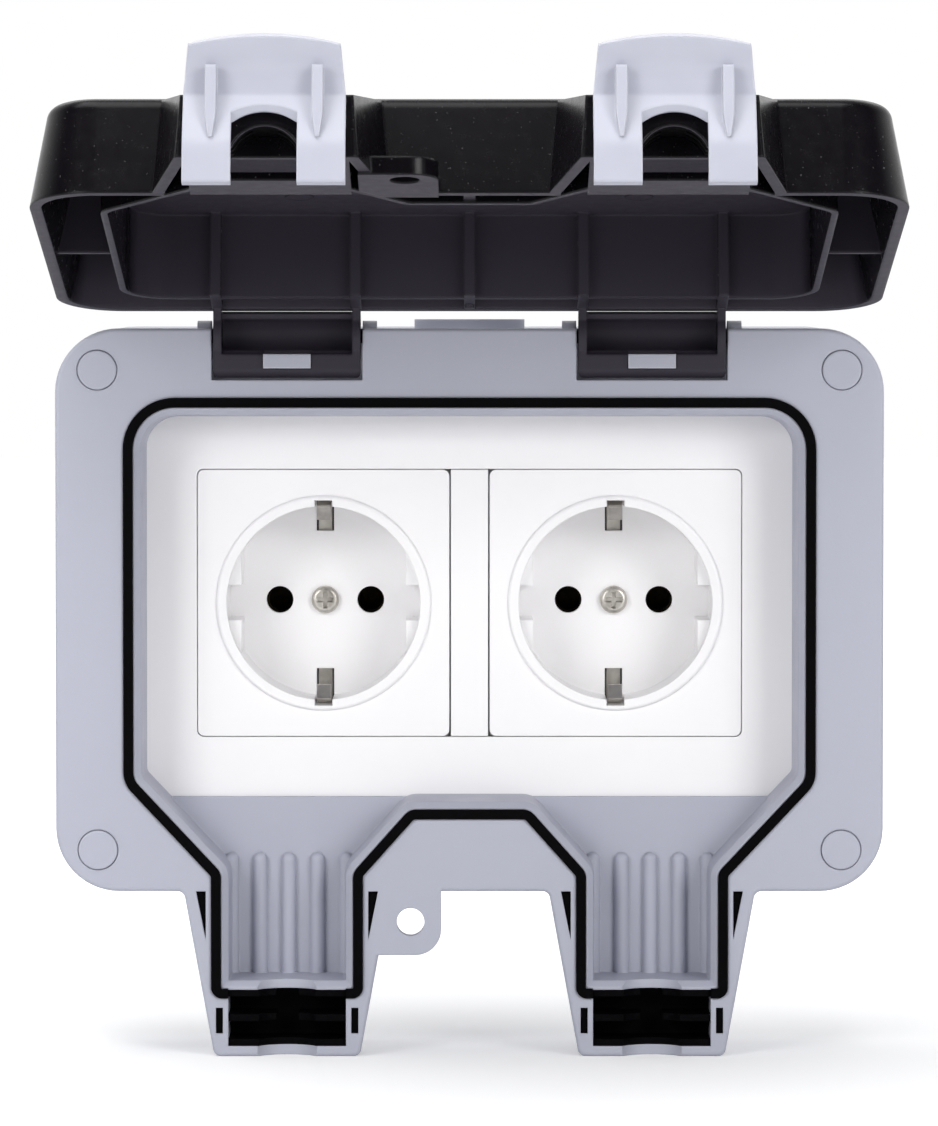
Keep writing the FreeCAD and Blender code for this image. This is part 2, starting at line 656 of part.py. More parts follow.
def comb(x, y_back, y_tip, z0, z1, grow):
    """Rubber comb: a back web and fins, the fins split where a cable passes."""
    way = 1.0 if y_tip > y_back else -1.0
    half = CHAMBER_HALF - grow
    web = box(x - half, x + half, *sorted((y_back, y_back + way * COMB_BACK)), z0, z1)
    pitch = (z1 - z0 - FIN_THICK) / (FIN_COUNT - 1)
    fins = []
    for i in range(FIN_COUNT):
        low = z0 + i * pitch
        fin = box(x - half, x + half, *sorted((y_back, y_tip)), low, low + FIN_THICK)
        if i > 0:
            split = sorted((y_back + way * COMB_BACK, y_tip + way))
            fin = fin.cut(box(x - FIN_SPLIT / 2, x + FIN_SPLIT / 2, *split, low - 1,
                              low + FIN_THICK + 1))
        fins.append(fin)
    return web.fuse(fins).removeSplitter()


def outlet_comb(side):
    x = side * FOOT_X
    body = comb(x, FRONT + CHAMBER_DEPTH, FRONT + SEAL_PROUD, CHAMBER_BOTTOM, CHAMBER_TOP, 0)
    body = body.cut(cable_dish(x, CHAMBER_BOTTOM - 1, CHAMBER_TOP + 1, FRONT, 1))
    keys = [side_slot(x, way, FRONT + KEY_SET, FRONT + SLOT_DEPTH) for way in (-1, 1)]
    return Part.makeCompound(body.Solids + keys)


def corner_caps():
    caps = []
    for way_x in (-1, 1):
        for way_z in (-1, 1):
            x = way_x * CORNER_X
            z = way_z * CORNER_Z
            top = rod_y(CAP_R, FRONT - CAP_PROUD, FRONT + CAP_STEP, x, z)
            top = fillet_plane(top, FRONT - CAP_PROUD, CAP_PROUD * 0.9)
            caps.append(top.fuse(rod_y(CAP_R + CAP_GROOVE, FRONT + CAP_STEP,
                                       FRONT - CAP_PROUD + CAP_THICK, x, z)).removeSplitter())
    return Part.makeCompound(caps)


def cross_drive(y, x, z, reach):
    """Cross recess of a screw head that faces -Y."""
    first = box(x - reach, x + reach, y - 1, y + DRIVE_DEPTH, z - DRIVE_W / 2, z + DRIVE_W / 2)
    second = box(x - DRIVE_W / 2, x + DRIVE_W / 2, y - 1, y + DRIVE_DEPTH, z - reach, z + reach)
    return first.fuse(second)


def frame_screws():
    screws = []
    seat = FRONT + HEAD_DEPTH
    for way_x in (-1, 1):
        for way_z in (-1, 1):
            x = way_x * CORNER_X
            z = way_z * CORNER_Z
            head = rod_y(HEAD_R, seat - HEAD_H, seat, x, z)
            head = fillet_plane(head, seat - HEAD_H, HEAD_H / 3)
            screw = head.fuse(rod_y(SCREW_R, seat, seat + SCREW_LENGTH, x, z))
            screws.append(screw.cut(cross_drive(seat - HEAD_H, x, z, DRIVE_SHARE * HEAD_R)))
    return Part.makeCompound(screws)


def socket_plate():
    plate = slab(rectangle(0, PLATE_Z, PLATE_W, PLATE_H, PLATE_R), PLATE_FRONT, PLATE_BACK)
    spread = 2 * SOCKET_X + INSERT_W
    return plate.cut(slab(rectangle(0, PLATE_Z, spread, INSERT_H, INSERT_R),
                          PLATE_FRONT - 1, PLATE_BACK + 1))


def spacer_strip():
    half = SOCKET_X - INSERT_W / 2 - INSERT_GAP
    strip = box(-half, half, PLATE_FRONT, PLATE_BACK, PLATE_Z - INSERT_H / 2 + INSERT_GAP,
                PLATE_Z + INSERT_H / 2 - INSERT_GAP)
    tab = INSERT_H / 2 + INSERT_FLANGE
    tabs = box(-half, half, PLATE_BACK, PLATE_BACK + FLANGE_THICK, PLATE_Z - tab, PLATE_Z + tab)
    return strip.fuse(tabs).removeSplitter()


def insert(side):
    x = side * SOCKET_X
    z = PLATE_Z
    face = slab(rectangle(x, z, INSERT_W - 2 * INSERT_GAP, INSERT_H - 2 * INSERT_GAP, INSERT_R),
                PLATE_FRONT, PLATE_BACK)
    inner = x - side * (INSERT_W / 2 - INSERT_GAP)
    outer = x + side * (INSERT_W / 2 + INSERT_FLANGE)
    half_h = INSERT_H / 2 + INSERT_FLANGE
    flange = box(*sorted((inner, outer)), PLATE_BACK, PLATE_BACK + FLANGE_THICK,
                 z - half_h, z + half_h)
    cup = rod_y(WELL_R + WELL_WALL, PLATE_FRONT, MECH_FRONT, x, z)
    ring = rod_y(WELL_R + RING_W, PLATE_FRONT - RING_PROUD, PLATE_FRONT + 1, x, z)
    ring = fillet_plane(ring, PLATE_FRONT - RING_PROUD, RING_PROUD * 0.8)
    body = face.fuse([flange, cup, ring])
    well = rod_y(WELL_R, PLATE_FRONT - RING_PROUD - 1, WELL_BOTTOM, x, z)
    lands = []
    for way_x in (-1, 1):
        for way_z in (-1, 1):
            xs = sorted((x + way_x * (WELL_R - LAND_IN), x + way_x * (WELL_R + WELL_WALL / 2)))
            zs = sorted((z + way_z * LAND_NEAR, z + way_z * LAND_FAR))
            lands.append(box(*xs, PLATE_FRONT + LAND_SET, WELL_BOTTOM + 1, *zs))
    body = body.cut(well.cut(lands))
    cuts = [rod_y(CENTRE_SHANK_R, WELL_BOTTOM - 1, MECH_FRONT + 1, x, z)]
    for way in (-1, 1):
        cuts.append(rod_y(PIN_HOLE_R, WELL_BOTTOM - 1, MECH_FRONT + 1, x + way * PIN_X, z))
        out = sorted((z + way * (WELL_R - 2), z + way * (WELL_R + EARTH_SLOT_OUT)))
        cuts.append(box(x - EARTH_SLOT_W / 2, x + EARTH_SLOT_W / 2, PLATE_FRONT - RING_PROUD - 1,
                        MECH_FRONT + 1, *out))
        deep = sorted((z + way * (WELL_R - EARTH_SLOT_IN), z + way * WELL_R))
        cuts.append(box(x - EARTH_SLOT_W / 2, x + EARTH_SLOT_W / 2, WELL_BOTTOM - 1,
                        MECH_FRONT + 1, *deep))
    return body.cut(cuts).removeSplitter()


def ribbon(path, thick):
    """Outline in (y, z) of a bent strip that follows a path of (y, z) points."""
    left = []
    right = []
    for i, (y, z) in enumerate(path):
        y0, z0 = path[max(i - 1, 0)]
        y1, z1 = path[min(i + 1, len(path) - 1)]
        first = math.atan2(z - z0, y - y0) if i > 0 else math.atan2(z1 - z, y1 - y)
        second = math.atan2(z1 - z, y1 - y) if i < len(path) - 1 else first
        bend = math.remainder(second - first, 2 * math.pi)
        normal = first + bend / 2 + math.pi / 2
        reach = thick / 2 / math.cos(bend / 2)
        left.append((y + reach * math.cos(normal), z + reach * math.sin(normal), 0))
        right.append((y - reach * math.cos(normal), z - reach * math.sin(normal), 0))
    return left + right[::-1]


def earth_strap(side):
    """Plated strip under the well floor with a sprung finger at each end."""
    x = side * SOCKET_X
    leg = WELL_R + EARTH_SLOT_OUT - EARTH_THICK / 2 - EARTH_PLAY
    base_y = MECH_FRONT + EARTH_THICK / 2
    nose = WELL_R - EARTH_NOSE + EARTH_THICK / 2
    half = [(base_y, 0), (base_y, leg), (PLATE_FRONT + EARTH_HEEL, leg),
            (PLATE_FRONT + EARTH_BEND, nose), (PLATE_FRONT + EARTH_CREST, nose),
            (PLATE_FRONT + EARTH_TIP, leg - EARTH_THICK)]
    fingers = []
    for way in (-1, 1):
        path = [(y, PLATE_Z + way * z) for y, z in half]
        fingers.append(side_slab(ribbon(path, EARTH_THICK), x - EARTH_W / 2, x + EARTH_W / 2))
    bridge = box(x - BRIDGE_W / 2, x + BRIDGE_W / 2, MECH_FRONT, MECH_FRONT + EARTH_THICK,
                 PLATE_Z - BRIDGE_W, PLATE_Z + BRIDGE_W)
    strap = bridge.fuse(fingers)
    return strap.cut(rod_y(CENTRE_SHANK_R, MECH_FRONT - 1, MECH_FRONT + 2, x, PLATE_Z))


def mechanism(side):
    x = side * SOCKET_X
    z = PLATE_Z
    block = slab(rectangle(x, z, MECH_W, MECH_H, MECH_R), MECH_FRONT, MECH_BACK)
    block = fillet_plane(block, MECH_BACK, MECH_ROUND)
    cuts = [rod_y(CENTRE_SHANK_R, MECH_FRONT - 1, MECH_BACK + 1, x, z),
            box(x - BRIDGE_W / 2, x + BRIDGE_W / 2, MECH_FRONT, MECH_FRONT + EARTH_THICK,
                z - BRIDGE_W, z + BRIDGE_W),
            box(x - EARTH_W / 2, x + EARTH_W / 2, MECH_FRONT, MECH_FRONT + EARTH_THICK,
                z - MECH_H / 2 - 1, z + MECH_H / 2 + 1)]
    for way in (-1, 1):
        px = x + way * PIN_X
        cuts.append(rod_y(SLEEVE_R, MECH_FRONT - 1, MECH_FRONT + SLEEVE_SET + SLEEVE_LENGTH, px, z))
        half = TERMINAL_W / 2
        cuts.append(box(px - half, px + half, MECH_BACK - TERMINAL_DEPTH, MECH_BACK + 1,
                        z + TERMINAL_Z - half, z + TERMINAL_Z + half))
    return block.cut(cuts)


def contact_sleeves(side):
    sleeves = []
    for way in (-1, 1):
        px = side * SOCKET_X + way * PIN_X
        start = MECH_FRONT + SLEEVE_SET
        tube = rod_y(SLEEVE_R, start, start + SLEEVE_LENGTH, px, PLATE_Z)
        tube = tube.cut(rod_y(SLEEVE_BORE, start - 1, start + SLEEVE_LENGTH - 1, px, PLATE_Z))
        sleeves.append(tube.cut(box(px - SLEEVE_SLIT / 2, px + SLEEVE_SLIT / 2, start - 1,
                                    start + SLEEVE_LENGTH * 0.8, PLATE_Z,
                                    PLATE_Z + SLEEVE_R + 1)))
    return Part.makeCompound(sleeves)


def terminal_blocks(side):
    blocks = []
    for way in (-1, 1):
        px = side * SOCKET_X + way * PIN_X
        pz = PLATE_Z + TERMINAL_Z
        half = TERMINAL_W / 2
        blocks.append(box(px - half, px + half, MECH_BACK - TERMINAL_DEPTH, MECH_BACK,
                          pz - half, pz + half))
    return Part.makeCompound(blocks)


def terminal_screws(side):
    screws = []
    for way in (-1, 1):
        px = side * SOCKET_X + way * PIN_X
        pz = PLATE_Z + TERMINAL_Z
        head = rod_y(TERMINAL_SCREW_R, MECH_BACK, MECH_BACK + TERMINAL_SCREW_H, px, pz)
        slot = box(px - TERMINAL_W / 2, px + TERMINAL_W / 2, MECH_BACK + TERMINAL_SCREW_H / 2,
                   MECH_BACK + TERMINAL_SCREW_H + 1, pz - TERMINAL_SLOT / 2,
                   pz + TERMINAL_SLOT / 2)
        screws.append(head.cut(slot))
    return Part.makeCompound(screws)


def centre_screw(side):
    x = side * SOCKET_X
    top = WELL_BOTTOM - CENTRE_HEAD_H
    head = rod_y(CENTRE_HEAD_R, top, WELL_BOTTOM, x, PLATE_Z)
    head = fillet_plane(head, top, CENTRE_HEAD_H * 0.6)
    screw = head.fuse(rod_y(CENTRE_SHANK_R, WELL_BOTTOM, WELL_BOTTOM + CENTRE_LENGTH, x, PLATE_Z))
    return screw.cut(cross_drive(top, x, PLATE_Z, DRIVE_SHARE * CENTRE_HEAD_R))


def lid_outline():
    return rectangle(0, (LID_TOP + LID_BOTTOM) / 2, 2 * LID_HALF_W, LID_TOP - LID_BOTTOM, LID_R)


def lobe_outline(x):
    """Lobe of the cover over one outlet, stepped in at its end for the latch."""
    top = LID_BOTTOM + LID_R
    half = [(-LOBE_TOP_HALF, top, 0), (-LOBE_TOP_HALF, LID_BOTTOM, LOBE_ROOT_R),
            (-LOBE_END_HALF, LOBE_NECK, LOBE_STEP_R), (-LOBE_TIP_HALF, LOBE_NECK, 0),
            (-LOBE_TIP_HALF, LOBE_END, LOBE_TIP_R)]
    return [(x + px, pz, r) for px, pz, r in mirrored(half)]


def lobe_slope(grow):
    """Space in front of the sloping face of the lobes."""
    tip = RIM - LOBE_TIP_DEPTH - grow
    top = CROWN + LOBE_SINK - grow
    return side_slab([(tip, LOBE_END, 0), (top, LID_BOTTOM, 0), (top, LID_BOTTOM + LID_R * 2, 0),
                      (top - LID_DEPTH, LID_BOTTOM + LID_R * 2, 0),
                      (top - LID_DEPTH, LOBE_END - LID_R, 0), (tip + 2, LOBE_END - LID_R, 0)],
                     -FLANGE_W, FLANGE_W)


def lid_solid(shrink):
    """Outer form of the cover, or the space inside its walls."""
    floor = CROWN + shrink
    main = taper(inset(lid_outline(), shrink), RIM, inset(lid_outline(), LID_DRAFT + shrink), floor)
    main = fillet_plane(main, floor, LID_ROUND if shrink == 0 else LID_ROUND / 2)
    parts = []
    for side in SIDES.values():
        lobe = taper(inset(lobe_outline(side * FOOT_X), shrink), RIM,
                     inset(lobe_outline(side * FOOT_X), shrink + LID_DRAFT * 0.5), CROWN)
        parts.append(lobe.cut(lobe_slope(-shrink)))
    return main.fuse(parts)


def hinge_leaf(x):
    """Knuckle, arms and tail of one hinge leaf, in its open place."""
    half = LEAF_W / 2
    y = HINGE_Y
    z = HINGE_Z
    tube = rod_x(KNUCKLE_R, x - half, x + half, y, z)
    tube = tube.cut(rod_x(KNUCKLE_R - KNUCKLE_WALL, x - half - 1, x + half + 1, y, z))
    tube = tube.cut(side_slab([(y + dy, z + dz, 0) for dy, dz in MOUTH],
                              x - half - 1, x + half + 1))
    front = FRONT - TAIL_PROUD
    back = front + TAIL_WALL
    tail_top = z - TAIL_TOP
    tail_low = z - TAIL_LOW
    tail = side_slab([(front, tail_top, 0), (front, tail_low + TAIL_WALL, TAIL_EDGE_R),
                      (front + TAIL_LIP, tail_low, TAIL_EDGE_R),
                      (back + TAIL_EDGE_R * 2, tail_low + TAIL_EDGE_R, 0),
                      (back, tail_top - TAIL_WALL, 0), (back, tail_top, 0)],
                     x - half, x + half)
    trim = slab([(x - half, tail_top + 1, 0), (x - half, tail_low, TAIL_CORNER_R),
                 (x + half, tail_low, TAIL_CORNER_R), (x + half, tail_top + 1, 0)],
                front - 1, front + POCKET_R)
    pieces = [tail.common(trim)]
    for way in (-1, 1):
        xs = sorted((x + way * half, x + way * (half - ARM_W)))
        pieces.append(side_slab([(front, z + ARM_TOP, 0), (front, tail_top - 1, 0),
                                 (back + 1, tail_top - TAIL_WALL, 0),
                                 (y, z - KNUCKLE_R + TAIL_EDGE_R, 0),
                                 (y + KNUCKLE_R - TAIL_EDGE_R, z, 0), (y, z + ARM_TOP, 0)], *xs))
        pieces.append(rod_x(KNUCKLE_R, xs[0], xs[1], y, z))
        tip = x + way * half
        peg_x = sorted((tip - way * ARM_W, tip + way * TRUNNION_LENGTH))
        pieces.append(rod_x(TRUNNION_R, peg_x[0], peg_x[1], y, z))
    return tube.fuse(pieces)


def tail_notch(x, proud, top):
    """Notch in the tail of a leaf, or the small block that fills it."""
    front = FRONT - TAIL_PROUD
    notch_top = HINGE_Z - TAIL_TOP
    return box(x - BLOCK_W / 2, x + BLOCK_W / 2, front - proud, front + TAIL_WALL,
               notch_top - BLOCK_H, notch_top + top)


def opened(shape):
    """Turn a piece of the shut cover to its open place."""
    turned = shape.copy()
    turned.rotate(vec(0, HINGE_Y, HINGE_Z), vec(1, 0, 0), -OPEN_ANGLE)
    return turned


def closed(shape):
    """Turn a piece drawn in its open place back to the shut cover."""
    turned = shape.copy()
    turned.rotate(vec(0, HINGE_Y, HINGE_Z), vec(1, 0, 0), OPEN_ANGLE)
    return turned


def comb_pocket(x):
    """Space for the comb in the end of a lobe."""
    half = CHAMBER_HALF - LOBE_COMB_WALL
    return box(x - half, x + half, RIM - LOBE_BLOCK, RIM + 1, LOBE_END + LOBE_COMB_WALL, LOBE_NECK)


def lid_ribs():
    """Walls and ribs moulded inside the cover."""
    ring = slab(inset(seal_line(), -RIB_THICK / 2), CROWN, RIM)
    ribs = [ring.cut(slab(inset(seal_line(), RIB_THICK / 2), CROWN - 1, RIM + 1))]
    deep = CROWN + LID_WALL / 2
    for side in SIDES.values():
        x = side * FOOT_X
        half = SEAL_FOOT_HALF + RIB_THICK / 2
        ribs.append(box(x - half, x + half, RIM - NECK_PLATE_THICK, RIM,
                        NECK_PLATE_TOP - NECK_PLATE_H, NECK_PLATE_TOP))
    centres = [0.0] + [side * HINGE_X + way * (LEAF_W / 2 - ARM_W / 2)
                       for side in SIDES.values() for way in (-1, 1)]
    inner_face = SEAL_TOP - RIB_THICK / 2
    for x in centres:
        ribs.append(box(x - STIFFENER_W / 2, x + STIFFENER_W / 2, deep, RIM,
                        inner_face - STIFFENER_PROUD, LID_TOP - LID_WALL / 2))
    gutter_z = LID_TOP - GUTTER_RIB_DROP
    for way in (-1, 1):
        xs = sorted((way * SEAL_HALF_W, way * (LID_HALF_W - LID_WALL / 2)))
        ribs.append(box(*xs, deep, RIM - GUTTER_RIB_SET, gutter_z - GUTTER_RIB / 2,
                        gutter_z + GUTTER_RIB / 2))
    ribs.append(box(-STIFFENER_W / 2, STIFFENER_W / 2, deep, RIM - GUTTER_RIB_SET / 2,
                    LID_BOTTOM + LID_WALL / 2, SEAL_MID_Z))
    return ribs


def padlock_lug(y0, y1, top, bottom):
    """Flat lug beside the left outlet, with its round corner and hole."""
    root = -FOOT_X + SEAL_FOOT_HALF
    edge = -FOOT_X + LUG_REACH
    lug = slab([(root, top, 0), (root, bottom, 0), (edge, bottom, LUG_R), (edge, top, 0)], y0, y1)
    return lug.cut(rod_y(LUG_HOLE_R, y0 - 1, y1 + 1, LUG_HOLE_X, LUG_HOLE_Z))


def lid_shell():
    outer = lid_solid(0)
    inner = lid_solid(LID_WALL)
    noses = [box(side * FOOT_X - LOBE_TIP_HALF, side * FOOT_X + LOBE_TIP_HALF, CROWN,
                 RIM - LOBE_BLOCK, LOBE_END, LOBE_NECK) for side in SIDES.values()]
    inner = inner.cut(noses).fuse([comb_pocket(side * FOOT_X) for side in SIDES.values()])
    shell = outer.cut(inner)
    shell = shell.fuse([rib.common(outer) for rib in lid_ribs()])
    lug_limits = (LID_BOTTOM + LID_WALL / 2, LUG_HOLE_Z - LUG_HOLE_R - LID_LUG_EDGE)
    lug = padlock_lug(RIM - LUG_THICK, RIM, *lug_limits)
    pad = padlock_lug(RIM, RIM + LID_LUG_PROUD, *lug_limits)
    pad = pad.cut(slab(inset(seal_line(), -SEAL_W / 2 - VENT_GAP), RIM - 1, FRONT))
    peg = rod_y(PEG_R, RIM - 1, RIM + PEG_PROUD, 0, (SEAL_TOP + LID_TOP) / 2)
    shell = shell.fuse([lug.cut(inner), pad, peg])
    reach = LOBE_TIP_HALF + LID_WALL
    cuts = []
    for side in SIDES.values():
        x = side * FOOT_X
        cuts.append(cable_dish(x, LOBE_END - 1, LOBE_END + LOBE_COMB_WALL + 1, RIM, -1))
        cuts.append(rod_x(PIVOT_R + PIN_CLEAR, x - reach, x + reach, PIVOT_Y, PIVOT_Z))
    shell = shell.cut(cuts)
    leaves = [closed(hinge_leaf(side * HINGE_X)) for side in SIDES.values()]
    shell = shell.fuse(leaves)
    notches = [closed(tail_notch(side * HINGE_X, 1, 1)) for side in SIDES.values()]
    return opened(shell.cut(notches))


def detent_block(side):
    return tail_notch(side * HINGE_X, BLOCK_PROUD, 0)


def lid_comb(side):
    x = side * FOOT_X
    body = comb(x, RIM - LOBE_BLOCK, RIM - COMB_GAP, LOBE_END + LOBE_COMB_WALL, LOBE_NECK,
                LOBE_COMB_WALL)
    body = body.cut(cable_dish(x, CHAMBER_BOTTOM - 1, CHAMBER_TOP + 1, RIM, -1))
    return opened(body)


def arched_plan(x, z, corners, crown):
    """Flat plan with a curved end, from half widths and depths off its straight end."""
    left = [vec(x - half, y, z) for half, y in corners]
    right = [vec(x + half, y, z) for half, y in reversed(corners)]
    edges = [Part.makeLine(a, b) for a, b in zip(left, left[1:])]
    edges.append(Part.Arc(left[-1], vec(x, crown, z), right[0]).toShape())
    edges += [Part.makeLine(a, b) for a, b in zip(right, right[1:])]
    edges.append(Part.makeLine(right[-1], left[0]))
    return Part.Face(Part.Wire(edges))


def leaning(plan, lean):
    """Prism through a latch over a plan, whose outer half leans along Y."""
    inner = plan.extrude(vec(0, 0, LATCH_SPAN))
    return inner.fuse(plan.extrude(vec(0, lean * LATCH_SPAN, -LATCH_SPAN)))


def latch_blade(x):
    """Legs, waist and hollow finger pull, bent from one thickness."""
    t = LATCH_THICK
    sweep_y = LATCH_VALLEY - LATCH_SWEEP
    profile = [(LATCH_TIP, LEG_Z, LATCH_TIP_R), (LATCH_KNEE, LEG_Z, LATCH_KNEE_R),
               (LATCH_VALLEY, VALLEY_Z, LATCH_VALLEY_R), (sweep_y, SWEEP_Z, LATCH_SWEEP_R),
               (LATCH_PULL, PULL_Z, LATCH_TIP_R), (LATCH_PULL, PULL_Z - t - PULL_LIP, LATCH_TIP_R),
               (sweep_y, SWEEP_Z - t, LATCH_SWEEP_R), (LATCH_VALLEY, VALLEY_Z - t, LATCH_VALLEY_R),
               (LATCH_KNEE, LEG_Z - t, LATCH_KNEE_R), (LATCH_TIP, LEG_Z - t, LATCH_TIP_R)]
    half = LATCH_W / 2
    far = LATCH_TIP + LATCH_SPAN
    outline = arched_plan(x, PULL_Z, [(half, far), (half, LATCH_VALLEY),
                                      (LATCH_TOP_W / 2, LATCH_PULL + PULL_CROWN)], LATCH_PULL)
    arch = arched_plan(x, (VALLEY_Z + LEG_Z) / 2, [(ARCH_HALF, far + LATCH_SPAN),
                                                   (ARCH_HALF, ARCH_TOP + ARCH_RISE)], ARCH_TOP)
    blade = side_slab(profile, x - half, x + half)
    blade = blade.common(leaning(outline, PULL_BEVEL / (t + PULL_LIP)))
    return blade.cut(leaning(arch, -ARCH_LEAN))


def latch_rib(x):
    """Rib across the hollow pull, pointed where it runs out on a leg."""
    t = LATCH_THICK
    foot_y = LATCH_KNEE - LATCH_RIB_W * LATCH_RIB_TIP
    top_z = PULL_Z - t - PULL_LIP + LATCH_RIB_SINK
    rib = side_slab([(foot_y, LEG_Z - t, 0), (foot_y, LEG_Z - t / 2, 0),
                     (LATCH_VALLEY, VALLEY_Z - t / 2, 0), (LATCH_RIB_TOP, SWEEP_Z - t / 2, 0),
                     (LATCH_RIB_TOP, top_z, LATCH_TIP_R)],
                    x - LATCH_RIB_W / 2, x + LATCH_RIB_W / 2)
    half = [(LATCH_RIB_TIP / 2, foot_y), (LATCH_RIB_W / 2, LATCH_RIB_TAPER),
            (LATCH_RIB_W / 2, LATCH_RIB_TOP - 1)]
    plan = [vec(x - w, y, PULL_Z) for w, y in half] + [vec(x + w, y, PULL_Z) for w, y in half[::-1]]
    outline = Part.Face(Part.makePolygon(plan + plan[:1]))
    return rib.common(leaning(outline, 0))


def latch(side):
    """Snap latch: legs that reach under the outlet, a waist and a finger pull."""
    x = side * FOOT_X
    t = LATCH_THICK
    slope = (VALLEY_Z - LEG_Z) / (LATCH_KNEE - LATCH_VALLEY)
    seat = VALLEY_Z - CHEEK_SINK
    pieces = []
    for way in (-1, 1):
        pieces.append(latch_rib(x + way * LATCH_RIB_X))
        xs = sorted((x + way * (LOBE_TIP_HALF + CHEEK_GAP),
                     x + way * (LOBE_TIP_HALF + CHEEK_GAP + CHEEK_W)))
        near = PIVOT_Y + CHEEK_R
        pieces.append(side_slab([(PIVOT_Y - CHEEK_R, PIVOT_Z, 0), (PIVOT_Y - CHEEK_R, seat, 0),
                                 (near, seat - slope * (near - LATCH_VALLEY), 0),
                                 (near, PIVOT_Z, 0)], *xs))
        pieces.append(rod_x(CHEEK_R, xs[0], xs[1], PIVOT_Y, PIVOT_Z))
        leg = sorted((x + way * ARCH_HALF, x + way * LATCH_W / 2))
        hook_y = LATCH_TIP - HOOK_DEPTH
        pieces.append(side_slab([(LATCH_TIP, LEG_Z - t / 4, 0), (LATCH_TIP, LEG_Z + HOOK_SLOPE, 0),
                                 (LATCH_TIP - HOOK_DEPTH / 2, LEG_Z + HOOK_HEIGHT, 0),
                                 (hook_y, LEG_Z + HOOK_HEIGHT, 0), (hook_y, LEG_Z - t / 4, 0)], *leg))
    body = latch_blade(x).fuse(pieces)
    reach = LOBE_TIP_HALF + CHEEK_GAP + CHEEK_W + 1
    body = body.cut(rod_x(PIVOT_R, x - reach, x + reach, PIVOT_Y, PIVOT_Z))
    return opened(body.removeSplitter())


def latch_pin(side):
    x = side * FOOT_X
    reach = LOBE_TIP_HALF + CHEEK_GAP + CHEEK_W
    return opened(rod_x(PIVOT_R, x - reach, x + reach, PIVOT_Y, PIVOT_Z))


def build():
    parts = {"front_frame": front_frame(), "back_box": back_box(),
             "conduit_spout": conduit_spout(), "box_gasket": box_gasket(),
             "lid_seal": lid_seal(), "corner_caps": corner_caps(),
             "frame_screws": frame_screws(), "socket_plate": socket_plate(),
             "spacer_strip": spacer_strip(), "lid_shell": lid_shell()}
    makers = {"insert": insert, "earth_strap": earth_strap, "mechanism": mechanism,
              "contact_sleeves": contact_sleeves, "terminal_blocks": terminal_blocks,
              "terminal_screws": terminal_screws, "centre_screw": centre_screw,
              "outlet_comb": outlet_comb, "lid_comb": lid_comb, "latch": latch,
              "latch_pin": latch_pin, "detent_block": detent_block}
    for name, maker in makers.items():
        for word, side in SIDES.items():
            parts[f"{name}_{word}"] = maker(side)
    return parts


os.makedirs("parts", exist_ok=True)
for node, shape in build().items():
    shape.exportStep(f"parts/{node}.step")
    print(node, shape.isValid(), len(shape.Solids), round(shape.Volume, 1))
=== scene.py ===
"""Two-gang weatherproof socket, cover held open, on a white studio floor.

The solids come from the frame, and this script gives them their finishes and the
marks of their moulds. Lengths are in metres, X to the right, Y to the wall, Z up.
"""
import bpy
import math
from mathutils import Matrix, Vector


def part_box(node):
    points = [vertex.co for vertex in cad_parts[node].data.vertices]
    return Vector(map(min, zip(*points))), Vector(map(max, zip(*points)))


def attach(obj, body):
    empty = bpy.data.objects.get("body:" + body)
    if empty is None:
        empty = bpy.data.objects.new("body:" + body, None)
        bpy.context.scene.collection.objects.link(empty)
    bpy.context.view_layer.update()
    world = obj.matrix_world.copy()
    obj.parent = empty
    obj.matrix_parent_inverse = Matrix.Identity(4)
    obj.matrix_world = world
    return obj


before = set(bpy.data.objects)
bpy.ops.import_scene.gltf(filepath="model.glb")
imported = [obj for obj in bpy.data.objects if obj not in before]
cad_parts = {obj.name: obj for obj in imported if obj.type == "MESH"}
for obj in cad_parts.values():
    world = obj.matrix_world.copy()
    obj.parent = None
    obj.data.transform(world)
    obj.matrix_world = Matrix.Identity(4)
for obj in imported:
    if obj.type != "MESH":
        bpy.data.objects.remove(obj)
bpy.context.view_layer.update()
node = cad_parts
scene = bpy.context.scene

# Camera
# A long lens a little over a metre away, just above the hinge and tipped two
# degrees down, as the photo was taken.
LENS_MM = 202.5
FILM_MM = 36.0
CAMERA_PLACE = (-0.0001, -1.343, 0.05714)
CAMERA_TIP = 90.0 - 2.106  # degrees from looking straight down
CAMERA_CLIP = (0.05, 30.0)

camera_data = bpy.data.cameras.new("camera")
camera_data.lens = LENS_MM
camera_data.sensor_width = FILM_MM
camera_data.clip_start, camera_data.clip_end = CAMERA_CLIP
camera = bpy.data.objects.new("camera", camera_data)
camera.location = CAMERA_PLACE
camera.rotation_euler = (math.radians(CAMERA_TIP), 0.0, 0.0)
scene.collection.objects.link(camera)
scene.camera = camera
scene.view_settings.view_transform = "Standard"

# Studio
# A white room and a white paper floor, with a softbox on each side of the camera,
# one high above and one behind. Gloss sees white behind, and a dim room in front.
WHITE = (1.0, 1.0, 1.0)
FILL_TINT = (0.97, 0.98, 1.0)
FILL_STRENGTH = 0.37
GLOSS_HEADING = (-0.05, 0.5)  # along Y, from the room in front to the white behind
GLOSS_STRENGTH = (0.03, 1.0)
NODE_ROW = 8  # nodes are laid out in rows, in the order in which they are made
NODE_WIDTH = 220
NODE_HEIGHT = 320


def add_node(tree, kind, **values):
    """Adds a node to a tree and sets its properties."""
    row, column = divmod(len(tree.nodes), NODE_ROW)
    made = tree.nodes.new(kind)
    made.location = (column * NODE_WIDTH, -row * NODE_HEIGHT)
    for name, value in values.items():
        setattr(made, name, value)
    return made


